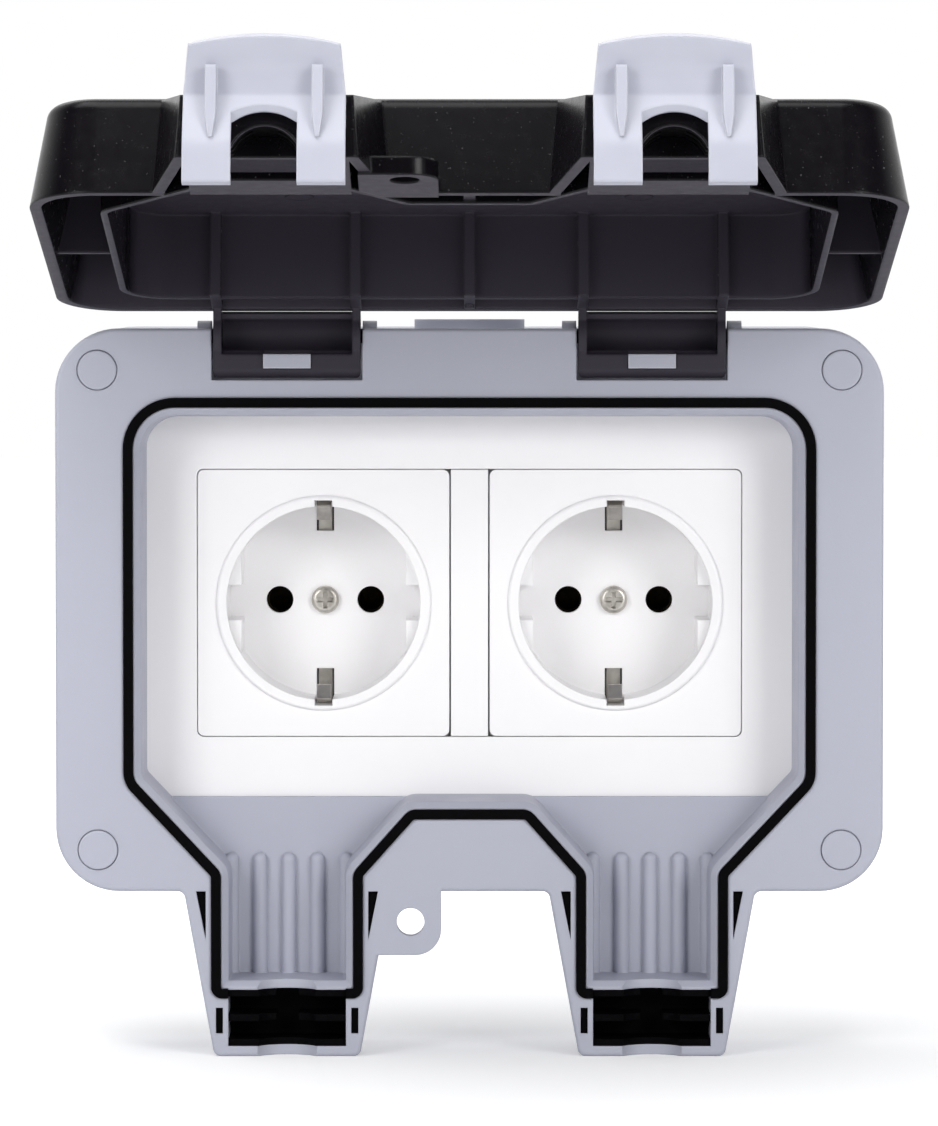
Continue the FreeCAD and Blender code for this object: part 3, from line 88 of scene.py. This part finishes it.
def feed(tree, value, socket):
    """Wires a node's output into a socket, or writes a plain value into it."""
    if isinstance(value, bpy.types.NodeSocket):
        tree.links.new(value, socket)
    elif socket.type == "RGBA":
        socket.default_value = (*value, 1)
    else:
        socket.default_value = value


def spread(tree, field, found, wanted=(0.0, 1.0)):
    """Maps a field's found range to a wanted one."""
    ramp = add_node(tree, "ShaderNodeMapRange")
    feed(tree, field, ramp.inputs["Value"])
    feed(tree, found[0], ramp.inputs["From Min"])
    feed(tree, found[1], ramp.inputs["From Max"])
    feed(tree, wanted[0], ramp.inputs["To Min"])
    feed(tree, wanted[1], ramp.inputs["To Max"])
    return ramp.outputs[0]


def maths(tree, operation, *values):
    """One sum on plain values or fields."""
    made = add_node(tree, "ShaderNodeMath", operation=operation)
    for value, socket in zip(values, made.inputs):
        feed(tree, value, socket)
    return made.outputs[0]


def room_light(tree, colour, strength):
    """Light of one colour from all round."""
    made = add_node(tree, "ShaderNodeBackground")
    feed(tree, colour, made.inputs["Color"])
    feed(tree, strength, made.inputs["Strength"])
    return made.outputs[0]


def mix_shaders(tree, share, first, second):
    """Goes from one shader to another by a share."""
    made = add_node(tree, "ShaderNodeMixShader")
    for value, socket in zip((share, first, second), made.inputs):
        feed(tree, value, socket)
    return made.outputs[0]


world = bpy.data.worlds.new("studio")
scene.world = world
world.use_nodes = True
sky = world.node_tree
sky.nodes.clear()
ray = add_node(sky, "ShaderNodeLightPath").outputs
heading = add_node(sky, "ShaderNodeTexCoord")
axes = add_node(sky, "ShaderNodeSeparateXYZ")
feed(sky, heading.outputs["Generated"], axes.inputs[0])
shiny = maths(sky, "MAXIMUM", ray["Is Glossy Ray"], ray["Is Transmission Ray"])
fill_light = room_light(sky, FILL_TINT, FILL_STRENGTH)
gloss_light = room_light(sky, WHITE, spread(sky, axes.outputs["Y"], GLOSS_HEADING, GLOSS_STRENGTH))
unseen = mix_shaders(sky, shiny, fill_light, gloss_light)
shown = mix_shaders(sky, ray["Is Camera Ray"], unseen, room_light(sky, WHITE, 1.0))
sky_out = add_node(sky, "ShaderNodeOutputWorld")
feed(sky, shown, sky_out.inputs[0])

# The floor shows its shadows near the object and fades to plain white further off.
FLOOR_X = (-4.0, 4.0)
FLOOR_Y = (-2.5, 6.0)
PAPER_WHITE = (0.86, 0.86, 0.86)
SHADOW_REACH = (0.22, 0.55)
PAPER_LIFT = (0.31, 0.90)
PAPER_GLOSS = 0.10

floor_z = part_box("front_frame")[0].z
floor_mesh = bpy.data.meshes.new("floor")
floor_mesh.from_pydata([(FLOOR_X[0], FLOOR_Y[0], floor_z), (FLOOR_X[1], FLOOR_Y[0], floor_z),
                        (FLOOR_X[1], FLOOR_Y[1], floor_z), (FLOOR_X[0], FLOOR_Y[1], floor_z)],
                       [], [(0, 1, 2, 3)])
floor = bpy.data.objects.new("floor", floor_mesh)
scene.collection.objects.link(floor)
floor_paper = bpy.data.materials.new("floor_paper")
floor_paper.use_nodes = True
tree = floor_paper.node_tree
tree.nodes.clear()
paper = add_node(tree, "ShaderNodeBsdfDiffuse")
feed(tree, PAPER_WHITE, paper.inputs["Color"])
ray = add_node(tree, "ShaderNodeLightPath").outputs
coords = add_node(tree, "ShaderNodeTexCoord")
distance = add_node(tree, "ShaderNodeVectorMath", operation="LENGTH")
feed(tree, coords.outputs["Object"], distance.inputs[0])
lift = maths(tree, "MULTIPLY", ray["Is Camera Ray"],
             spread(tree, distance.outputs["Value"], SHADOW_REACH, PAPER_LIFT))
gloss = maths(tree, "MULTIPLY", ray["Is Glossy Ray"], PAPER_GLOSS)
glow = add_node(tree, "ShaderNodeEmission")
feed(tree, maths(tree, "ADD", lift, gloss), glow.inputs["Strength"])
both = add_node(tree, "ShaderNodeAddShader")
feed(tree, paper.outputs[0], both.inputs[0])
feed(tree, glow.outputs[0], both.inputs[1])
paper_out = add_node(tree, "ShaderNodeOutputMaterial")
feed(tree, both.outputs[0], paper_out.inputs[0])
floor_mesh.materials.append(floor_paper)


def softbox(name, place, aim, size, watts):
    """Rectangular studio lamp that points at a spot."""
    lamp = bpy.data.lights.new(name, "AREA")
    lamp.shape = "RECTANGLE"
    lamp.size, lamp.size_y = size
    lamp.energy = watts
    stand = bpy.data.objects.new(name, lamp)
    stand.location = place
    stand.rotation_euler = (Vector(aim) - Vector(place)).to_track_quat("-Z", "Y").to_euler()
    scene.collection.objects.link(stand)


softbox("left_softbox", place=(-0.85, -1.30, 0.50), aim=(0.0, -0.05, 0.0),
        size=(0.6, 0.7), watts=8.5)
softbox("right_softbox", place=(0.85, -1.30, 0.50), aim=(0.0, -0.05, 0.0),
        size=(0.6, 0.7), watts=9.5)
softbox("top_softbox", place=(-0.25, -0.45, 1.35), aim=(0.0, -0.1, 0.0),
        size=(1.2, 0.9), watts=12.2)
softbox("back_softbox", place=(0.0, 0.8, 0.9), aim=(0.0, -0.1, 0.08),
        size=(1.4, 0.5), watts=3.0)

# Grey housing: the back box, the front frame, the spout and the screw caps
# Stone-grey moulded plastic with a fine matt grain. The box goes on the wall, the
# frame is screwed to its front, and the caps snap in over the four screws.
HOUSING_GREY = (0.428, 0.438, 0.518)
HOUSING_PALE = (0.442, 0.452, 0.532)
HOUSING_CLOUD = (0.416, 0.426, 0.506)
HOUSING_EDGE_HIGHLIGHT = (0.54, 0.552, 0.63)
HOUSING_ROUGH = (0.40, 0.56)
BEVEL_SAMPLES = 6


def surface(name, colour, roughness, metallic=0.0):
    """New material: one shader with plain values for patterns to vary."""
    material = bpy.data.materials.new(name)
    material.use_nodes = True
    tree = material.node_tree
    tree.nodes.clear()
    shader = add_node(tree, "ShaderNodeBsdfPrincipled")
    feed(tree, colour, shader.inputs["Base Color"])
    feed(tree, roughness, shader.inputs["Roughness"])
    feed(tree, metallic, shader.inputs["Metallic"])
    out = add_node(tree, "ShaderNodeOutputMaterial")
    feed(tree, shader.outputs[0], out.inputs[0])
    coords = add_node(tree, "ShaderNodeTexCoord")
    return material, tree, shader, coords


def noise(tree, coords, per_metre, detail, rough, stretch=None):
    """Noise in the piece's own space, at so many features a metre."""
    source = coords.outputs["Object"]
    if stretch:
        mapping = add_node(tree, "ShaderNodeMapping")
        feed(tree, stretch, mapping.inputs["Scale"])
        feed(tree, source, mapping.inputs["Vector"])
        source = mapping.outputs[0]
    field = add_node(tree, "ShaderNodeTexNoise")
    feed(tree, source, field.inputs["Vector"])
    feed(tree, per_metre, field.inputs["Scale"])
    feed(tree, detail, field.inputs["Detail"])
    feed(tree, rough, field.inputs["Roughness"])
    return field.outputs["Fac"]


def blend_colours(tree, share, first, second):
    """Goes from one colour or output to another by a share."""
    mix = add_node(tree, "ShaderNodeMix", data_type="RGBA")
    feed(tree, share, mix.inputs["Factor"])
    feed(tree, first, mix.inputs[6])
    feed(tree, second, mix.inputs[7])
    return mix.outputs[2]


def relief(tree, shader, layers, edge_radius):
    """Bump layers as (field, strength, depth) over rounded edges."""
    rounded = add_node(tree, "ShaderNodeBevel", samples=BEVEL_SAMPLES)
    feed(tree, edge_radius, rounded.inputs["Radius"])
    normal = rounded.outputs[0]
    for field, strength, depth in layers:
        bump = add_node(tree, "ShaderNodeBump")
        feed(tree, strength, bump.inputs["Strength"])
        feed(tree, depth, bump.inputs["Distance"])
        feed(tree, field, bump.inputs["Height"])
        feed(tree, normal, bump.inputs["Normal"])
        normal = bump.outputs[0]
    feed(tree, normal, shader.inputs["Normal"])
    return rounded.outputs[0]


def highlight_edge_share(tree, rounded, turned=(0.02, 0.35)):
    """Share that rises from 0 on flat faces to 1 where rounding turns the normal, for painted edge
    highlights.
    """
    form = add_node(tree, "ShaderNodeNewGeometry")
    dot = add_node(tree, "ShaderNodeVectorMath", operation="DOT_PRODUCT")
    feed(tree, form.outputs["Normal"], dot.inputs[0])
    feed(tree, rounded, dot.inputs[1])
    return spread(tree, maths(tree, "SUBTRACT", 1.0, dot.outputs["Value"]), turned)


def wear(material, *names):
    """Gives CAD nodes one material in their own slots."""
    for name in names:
        piece = node[name]
        if not piece.data.materials:
            piece.data.materials.append(material)
        for i in range(len(piece.data.materials)):
            piece.data.materials[i] = material


housing_grey, tree, shader, coords = surface("housing_grey", HOUSING_GREY, 0.48)
flow = noise(tree, coords, 26.0, detail=3.0, rough=0.6, stretch=(1.0, 1.0, 0.35))
cloud = noise(tree, coords, 140.0, detail=3.0, rough=0.55)
grain = noise(tree, coords, 5200.0, detail=2.0, rough=0.5)
pores = noise(tree, coords, 1500.0, detail=4.0, rough=0.65)
tone = blend_colours(tree, spread(tree, flow, (0.3, 0.7)), HOUSING_GREY, HOUSING_PALE)
tone = blend_colours(tree, spread(tree, cloud, (0.35, 0.75), (0.0, 0.25)), tone, HOUSING_CLOUD)
rounded = relief(tree, shader, [(pores, 0.10, 0.0002), (grain, 0.16, 0.00006)], 0.0006)
# Painted highlight: the rounded edges turn a paler grey.
tone = blend_colours(tree, highlight_edge_share(tree, rounded), tone, HOUSING_EDGE_HIGHLIGHT)
feed(tree, tone, shader.inputs["Base Color"])
feed(tree, spread(tree, cloud, (0.3, 0.7), HOUSING_ROUGH), shader.inputs["Roughness"])
wear(housing_grey, "front_frame", "back_box", "conduit_spout", "corner_caps")

# Rubber: the box gasket, the cover's seal and the cable combs
# Soft black rubber with a dull skin. The gasket is squeezed between box and frame,
# the seal lies in the frame's groove, and the combs close round a cable.
RUBBER_BLACK = (0.0014, 0.0011, 0.0016)
RUBBER_DUST = (0.0030, 0.0026, 0.0033)
RUBBER_ROUGH = (0.50, 0.72)
RUBBER_SHEEN = 0.04

black_rubber, tree, shader, coords = surface("black_rubber", RUBBER_BLACK, 0.66)
dust = noise(tree, coords, 900.0, detail=5.0, rough=0.6)
skin = noise(tree, coords, 3800.0, detail=2.0, rough=0.5)
tone = blend_colours(tree, spread(tree, dust, (0.5, 0.75)), RUBBER_BLACK, RUBBER_DUST)
feed(tree, tone, shader.inputs["Base Color"])
feed(tree, spread(tree, dust, (0.3, 0.7), RUBBER_ROUGH), shader.inputs["Roughness"])
feed(tree, RUBBER_SHEEN, shader.inputs["Specular IOR Level"])
relief(tree, shader, [(skin, 0.25, 0.00008)], 0.0003)
wear(black_rubber, "box_gasket", "lid_seal", "outlet_comb_left", "outlet_comb_right",
     "lid_comb_left", "lid_comb_right")

# Screws and latch pins
# Turned steel: four screws from the frame into the box's posts, the clamp screws
# of the terminals, and the pins on which the latches swing.
STEEL = (0.52, 0.52, 0.53)
STEEL_ROUGH = (0.24, 0.46)

screw_steel, tree, shader, coords = surface("screw_steel", STEEL, 0.33, metallic=1.0)
turning = noise(tree, coords, 900.0, detail=3.0, rough=0.5, stretch=(1.0, 6.0, 1.0))
feed(tree, spread(tree, turning, (0.3, 0.7), STEEL_ROUGH), shader.inputs["Roughness"])
relief(tree, shader, [(turning, 0.12, 0.00005)], 0.0002)
wear(screw_steel, "frame_screws", "terminal_screws_left", "terminal_screws_right",
     "latch_pin_left", "latch_pin_right")

# Socket faces
# Glossy white plate and spacer strip in the frame's recess, and the two faces with
# their round wells, which clip into the plate.
FACE_WHITE = (0.924, 0.914, 0.920)
FACE_BRIGHT = (0.932, 0.922, 0.928)
FACE_ROUGH = (0.28, 0.34)

socket_white, tree, shader, coords = surface("socket_white", FACE_WHITE, 0.28)
haze = noise(tree, coords, 160.0, detail=3.0, rough=0.5)
ripple = noise(tree, coords, 60.0, detail=2.0, rough=0.4)
fine = noise(tree, coords, 4200.0, detail=2.0, rough=0.5)
tone = blend_colours(tree, spread(tree, haze, (0.2, 0.8)), FACE_WHITE, FACE_BRIGHT)
feed(tree, tone, shader.inputs["Base Color"])
feed(tree, spread(tree, haze, (0.2, 0.8), FACE_ROUGH), shader.inputs["Roughness"])
relief(tree, shader, [(ripple, 0.03, 0.0002), (fine, 0.03, 0.00003)], 0.00035)
wear(socket_white, "socket_plate", "spacer_strip", "insert_left", "insert_right")

# Module bodies
# Moulded blocks held behind the faces by the centre screws, near black as painted
# shade for the bores. They carry the sleeves, the clamps and the earth springs.
BODY_PAINTED_SHADE = (0.026, 0.026, 0.028)
BODY_SPECK = (0.045, 0.044, 0.046)
BODY_ROUGH = 0.5

# Painted shade: the blocks are near black so that the bores in front of them read dark.
shaded_module_body, tree, shader, coords = surface("shaded_module_body", BODY_PAINTED_SHADE, BODY_ROUGH)
speck = noise(tree, coords, 700.0, detail=5.0, rough=0.7)
tone = blend_colours(tree, spread(tree, speck, (0.35, 0.7)), BODY_PAINTED_SHADE, BODY_SPECK)
feed(tree, tone, shader.inputs["Base Color"])
relief(tree, shader, [(speck, 0.1, 0.0001)], 0.0004)
wear(shaded_module_body, "mechanism_left", "mechanism_right")

# Terminal blocks and contact sleeves
# Bright brass clamps at the back of the modules. The sleeves sit deep behind the
# bores of the wells and are painted near black with a brown mottle, as painted shade.
BRASS = (0.68, 0.50, 0.22)
BRASS_TARNISH = (0.45, 0.31, 0.13)
BRASS_ROUGH = (0.26, 0.48)
SLEEVE_PAINTED_SHADE = (0.012, 0.010, 0.008)
SLEEVE_SHADE_BROWN = (0.030, 0.022, 0.012)
SLEEVE_ROUGH = 0.55

contact_brass, tree, shader, coords = surface("contact_brass", BRASS, 0.34, metallic=1.0)
tarnish = noise(tree, coords, 420.0, detail=4.0, rough=0.6)
tone = blend_colours(tree, spread(tree, tarnish, (0.4, 0.7)), BRASS, BRASS_TARNISH)
feed(tree, tone, shader.inputs["Base Color"])
feed(tree, spread(tree, tarnish, (0.3, 0.7), BRASS_ROUGH), shader.inputs["Roughness"])
relief(tree, shader, [(tarnish, 0.08, 0.00006)], 0.0002)
wear(contact_brass, "terminal_blocks_left", "terminal_blocks_right")

# Painted shade: the sleeves are near black with a brown mottle, standing for the shade deep in the
# bores.
shaded_sleeve_brass, tree, shader, coords = surface("shaded_sleeve_brass", SLEEVE_PAINTED_SHADE, SLEEVE_ROUGH,
                                             metallic=1.0)
sleeve_mottle = noise(tree, coords, 650.0, detail=4.0, rough=0.6)
tone = blend_colours(tree, spread(tree, sleeve_mottle, (0.4, 0.7)), SLEEVE_PAINTED_SHADE, SLEEVE_SHADE_BROWN)
feed(tree, tone, shader.inputs["Base Color"])
relief(tree, shader, [(sleeve_mottle, 0.1, 0.00006)], 0.0002)
wear(shaded_sleeve_brass, "contact_sleeves_left", "contact_sleeves_right")

# Earth springs and centre screws
# Sprung strips at the top and bottom of each well and the screw in its middle,
# nickel plated, with the grain of the rolled sheet.
NICKEL = (0.60, 0.575, 0.53)
NICKEL_STAIN = (0.44, 0.415, 0.375)
NICKEL_ROUGH = (0.28, 0.46)

plated_nickel, tree, shader, coords = surface("plated_nickel", NICKEL, 0.36, metallic=1.0)
rolled = noise(tree, coords, 700.0, detail=3.0, rough=0.5, stretch=(9.0, 1.0, 1.0))
stain = noise(tree, coords, 300.0, detail=3.0, rough=0.5)
tone = blend_colours(tree, spread(tree, stain, (0.4, 0.7)), NICKEL, NICKEL_STAIN)
feed(tree, tone, shader.inputs["Base Color"])
feed(tree, spread(tree, rolled, (0.3, 0.7), NICKEL_ROUGH), shader.inputs["Roughness"])
relief(tree, shader, [(rolled, 0.15, 0.00005)], 0.00025)
wear(plated_nickel, "earth_strap_left", "earth_strap_right", "centre_screw_left",
     "centre_screw_right")

# Cover
# Black moulding whose trunnions turn in the frame's pockets. It is glossy outside
# with fine dust and painted highlights on its rounded edges, and duller on its ceiling
# and its hinge wall, which are painted lighter as light bounced from the floor.
COVER_OPEN = math.radians(102.0)
COVER_RUN = Vector((0.0, -math.sin(COVER_OPEN), -math.cos(COVER_OPEN)))
COVER_IN = Vector((0.0, math.cos(COVER_OPEN), -math.sin(COVER_OPEN)))
COVER_BLACK = (0.0034, 0.0027, 0.0040)
COVER_MOTTLE = (0.0046, 0.0037, 0.0054)
COVER_DUST = (0.16, 0.155, 0.16)
COVER_EDGE_HIGHLIGHT = (0.022, 0.020, 0.024)
COVER_INSIDE_BOUNCE_LIT = (0.038, 0.033, 0.046)
COVER_ROUGH = (0.20, 0.30)
INSIDE_DULLER = 0.26
HINGE_WALL_Y = (-0.100, -0.092)
COVER_SHEEN = 0.20


def facing(tree, coords, direction):
    """Share of a face that looks along a direction of the piece itself."""
    dot = add_node(tree, "ShaderNodeVectorMath", operation="DOT_PRODUCT")
    feed(tree, coords.outputs["Normal"], dot.inputs[0])
    feed(tree, direction, dot.inputs[1])
    return spread(tree, dot.outputs["Value"], (0.25, 0.65))


cover_black, tree, shader, coords = surface("cover_black", COVER_BLACK, 0.20)
mottle = noise(tree, coords, 45.0, detail=4.0, rough=0.6)
film = noise(tree, coords, 420.0, detail=5.0, rough=0.65)
specks = noise(tree, coords, 1900.0, detail=1.0, rough=0.4)
swirl = noise(tree, coords, 3600.0, detail=2.0, rough=0.5)
tone = blend_colours(tree, spread(tree, mottle, (0.35, 0.7)), COVER_BLACK, COVER_MOTTLE)
tone = blend_colours(tree, spread(tree, specks, (0.73, 0.79), (0.0, 0.40)), tone, COVER_DUST)
rounded = relief(tree, shader, [(film, 0.02, 0.0002), (swirl, 0.03, 0.00004)], 0.0008)
# Painted highlight: the rounded edges turn a lighter black.
tone = blend_colours(tree, highlight_edge_share(tree, rounded, (0.03, 0.5)), tone, COVER_EDGE_HIGHLIGHT)
axes = add_node(tree, "ShaderNodeSeparateXYZ")
feed(tree, coords.outputs["Object"], axes.inputs[0])
near_hinge = spread(tree, axes.outputs["Y"], HINGE_WALL_Y)
hinge_wall = maths(tree, "MULTIPLY", facing(tree, coords, COVER_RUN), near_hinge)
inside = maths(tree, "MAXIMUM", facing(tree, coords, COVER_IN), hinge_wall)
# Painted bounce light: the ceiling and hinge wall are painted a lighter black, as lit from the
# floor. They are also made duller below.
feed(tree, blend_colours(tree, inside, tone, COVER_INSIDE_BOUNCE_LIT), shader.inputs["Base Color"])
satin = spread(tree, film, (0.3, 0.75), COVER_ROUGH)
feed(tree, maths(tree, "MULTIPLY_ADD", inside, INSIDE_DULLER, satin), shader.inputs["Roughness"])
feed(tree, COVER_SHEEN, shader.inputs["Specular IOR Level"])
wear(cover_black, "lid_shell")

# Latches and detent blocks
# Pale grey clips that snap over the outlets, a little translucent and smoother
# than the housing, and the small blocks of the same plastic in the hinge tails.
CLIP_GREY = (0.444, 0.453, 0.528)
CLIP_MILK = (0.459, 0.468, 0.543)
CLIP_EDGE_HIGHLIGHT = (0.68, 0.69, 0.76)
CLIP_ROUGH = (0.28, 0.42)
CLIP_DEPTH_SHARE = 0.08
CLIP_DEPTH = (0.0015, 0.0015, 0.0016)

clip_grey, tree, shader, coords = surface("clip_grey", CLIP_GREY, 0.36)
milk = noise(tree, coords, 120.0, detail=3.0, rough=0.55)
fine = noise(tree, coords, 4000.0, detail=2.0, rough=0.5)
tone = blend_colours(tree, spread(tree, milk, (0.3, 0.7)), CLIP_GREY, CLIP_MILK)
rounded = relief(tree, shader, [(fine, 0.06, 0.00005)], 0.0006)
# Painted highlight: the rounded edges turn a much paler grey.
tone = blend_colours(tree, highlight_edge_share(tree, rounded), tone, CLIP_EDGE_HIGHLIGHT)
feed(tree, tone, shader.inputs["Base Color"])
feed(tree, spread(tree, milk, (0.3, 0.7), CLIP_ROUGH), shader.inputs["Roughness"])
feed(tree, CLIP_DEPTH_SHARE, shader.inputs["Subsurface Weight"])
feed(tree, CLIP_DEPTH, shader.inputs["Subsurface Radius"])
wear(clip_grey, "latch_left", "latch_right", "detent_block_left", "detent_block_right")

# Tool marks
# Round marks where the pins of the moulds pushed the mouldings off, and the stubs
# of the cover's gates, each seated on the moulding it belongs to.
MARK_SIDES = 32
RIM_SIDES = 8
RIM_RADIUS = 0.00012
MARK_REACH = 0.2


def marks_tree():
    """Drops points along a direction on a moulding and sets a rimmed disc on each."""
    tree = bpy.data.node_groups.new("tool_marks", "GeometryNodeTree")
    for label, kind in (("Points", "NodeSocketGeometry"), ("Moulding", "NodeSocketObject"),
                        ("Direction", "NodeSocketVector"), ("Reach", "NodeSocketFloat"),
                        ("Radius", "NodeSocketFloat"), ("Height", "NodeSocketFloat"),
                        ("Finish", "NodeSocketMaterial")):
        tree.interface.new_socket(name=label, in_out="INPUT", socket_type=kind)
    tree.interface.new_socket(name="Marks", in_out="OUTPUT", socket_type="NodeSocketGeometry")
    given = add_node(tree, "NodeGroupInput").outputs
    moulding = add_node(tree, "GeometryNodeObjectInfo", transform_space="ORIGINAL")
    feed(tree, given["Moulding"], moulding.inputs["Object"])
    ray = add_node(tree, "GeometryNodeRaycast")
    feed(tree, moulding.outputs["Geometry"], ray.inputs["Target Geometry"])
    feed(tree, given["Direction"], ray.inputs["Ray Direction"])
    feed(tree, given["Reach"], ray.inputs["Ray Length"])
    held = add_node(tree, "GeometryNodeCaptureAttribute", domain="POINT")
    held.capture_items.new("VECTOR", "Facing")
    held.capture_items.new("FLOAT", "Struck")
    feed(tree, given["Points"], held.inputs[0])
    feed(tree, ray.outputs["Hit Normal"], held.inputs["Facing"])
    feed(tree, ray.outputs["Is Hit"], held.inputs["Struck"])
    seated = add_node(tree, "GeometryNodeSetPosition")
    feed(tree, held.outputs[0], seated.inputs["Geometry"])
    feed(tree, ray.outputs["Hit Position"], seated.inputs["Position"])
    upright = add_node(tree, "FunctionNodeAlignRotationToVector", axis="Z")
    feed(tree, held.outputs["Facing"], upright.inputs["Vector"])
    disc = add_node(tree, "GeometryNodeMeshCylinder")
    feed(tree, MARK_SIDES, disc.inputs["Vertices"])
    feed(tree, given["Radius"], disc.inputs["Radius"])
    feed(tree, given["Height"], disc.inputs["Depth"])
    ring = add_node(tree, "GeometryNodeCurvePrimitiveCircle", mode="RADIUS")
    feed(tree, MARK_SIDES, ring.inputs["Resolution"])
    feed(tree, given["Radius"], ring.inputs["Radius"])
    bead = add_node(tree, "GeometryNodeCurvePrimitiveCircle", mode="RADIUS")
    feed(tree, RIM_SIDES, bead.inputs["Resolution"])
    feed(tree, RIM_RADIUS, bead.inputs["Radius"])
    rim = add_node(tree, "GeometryNodeCurveToMesh")
    feed(tree, ring.outputs[0], rim.inputs["Curve"])
    feed(tree, bead.outputs[0], rim.inputs["Profile Curve"])
    mark = add_node(tree, "GeometryNodeJoinGeometry")
    feed(tree, disc.outputs["Mesh"], mark.inputs[0])
    feed(tree, rim.outputs[0], mark.inputs[0])
    marks = add_node(tree, "GeometryNodeInstanceOnPoints")
    feed(tree, seated.outputs[0], marks.inputs["Points"])
    feed(tree, held.outputs["Struck"], marks.inputs["Selection"])
    feed(tree, mark.outputs[0], marks.inputs["Instance"])
    feed(tree, upright.outputs[0], marks.inputs["Rotation"])
    real = add_node(tree, "GeometryNodeRealizeInstances")
    feed(tree, marks.outputs[0], real.inputs[0])
    dressed = add_node(tree, "GeometryNodeSetMaterial")
    feed(tree, real.outputs[0], dressed.inputs["Geometry"])
    feed(tree, given["Finish"], dressed.inputs["Material"])
    out = add_node(tree, "NodeGroupOutput")
    feed(tree, dressed.outputs[0], out.inputs[0])
    return tree


tool_marks = marks_tree()


def mark_moulding(name, moulding, body, starts, direction, radius, height, finish):
    """Makes one plain mesh of marks on a CAD moulding, and lets it ride with it."""
    dots = bpy.data.meshes.new(name)
    dots.from_pydata([tuple(start) for start in starts], [], [])
    sketch = bpy.data.objects.new(name + "_points", dots)
    scene.collection.objects.link(sketch)
    modifier = sketch.modifiers.new("marks", "NODES")
    modifier.node_group = tool_marks
    given = {"Moulding": node[moulding], "Direction": tuple(direction), "Reach": MARK_REACH,
             "Radius": radius, "Height": height, "Finish": finish}
    for item in tool_marks.interface.items_tree:
        if item.in_out == "INPUT" and item.name in given:
            modifier[item.identifier] = given[item.name]
    evaluated = sketch.evaluated_get(bpy.context.evaluated_depsgraph_get())
    piece = bpy.data.objects.new(name, bpy.data.meshes.new_from_object(evaluated))
    piece.data.name = name
    bpy.data.objects.remove(sketch)
    scene.collection.objects.link(piece)
    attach(piece, body)


# Ten pins pushed the cover off the tool from inside, and it was filled by two gates.
HINGE = Vector((0.0, -0.0481, 0.05595))
CLEAR_OF_COVER = 0.06 * COVER_IN
PIN_RUNS = (0.030, 0.072)
PIN_XS = (-0.064, -0.034, 0.0, 0.034, 0.064)
GATE_RUN = 0.07
GATE_XS = (-0.03, 0.03)
below_cover = [HINGE + CLEAR_OF_COVER + run * COVER_RUN + Vector((x, 0, 0))
               for run in PIN_RUNS for x in PIN_XS]
above_cover = [HINGE - CLEAR_OF_COVER + GATE_RUN * COVER_RUN + Vector((x, 0, 0))
               for x in GATE_XS]
mark_moulding("cover_ejector_marks", "lid_shell", "lid", below_cover, -COVER_IN,
              radius=0.0028, height=0.00016, finish=cover_black)
mark_moulding("cover_gate_stubs", "lid_shell", "lid", above_cover, COVER_IN,
              radius=0.0011, height=0.0005, finish=cover_black)

# Nine pins pushed the box off at the face that goes on the wall.
BOX_PIN_XS = (-0.045, 0.0, 0.045)
BOX_PIN_ZS = (-0.034, 0.0, 0.034)
BEHIND_BOX = 0.05
FORWARDS = (0, -1, 0)
mark_moulding("box_ejector_marks", "back_box", "base",
              [Vector((x, BEHIND_BOX, z)) for x in BOX_PIN_XS for z in BOX_PIN_ZS], FORWARDS,
              radius=0.0030, height=0.00016, finish=housing_grey)

# Two pins pushed each latch off at the side that is turned to the wall here.
LATCH_X = 0.0373
LATCH_PIN_XS = (-0.009, 0.009)
BEHIND_LATCH_Y = -0.14
LATCH_PIN_Z = 0.105
for way, name in ((-1, "left"), (1, "right")):
    mark_moulding(f"latch_ejector_marks_{name}", f"latch_{name}", f"latch_{name}_body",
                  [Vector((way * LATCH_X + x, BEHIND_LATCH_Y, LATCH_PIN_Z)) for x in LATCH_PIN_XS],
                  FORWARDS, radius=0.0011, height=0.00014, finish=clip_grey)
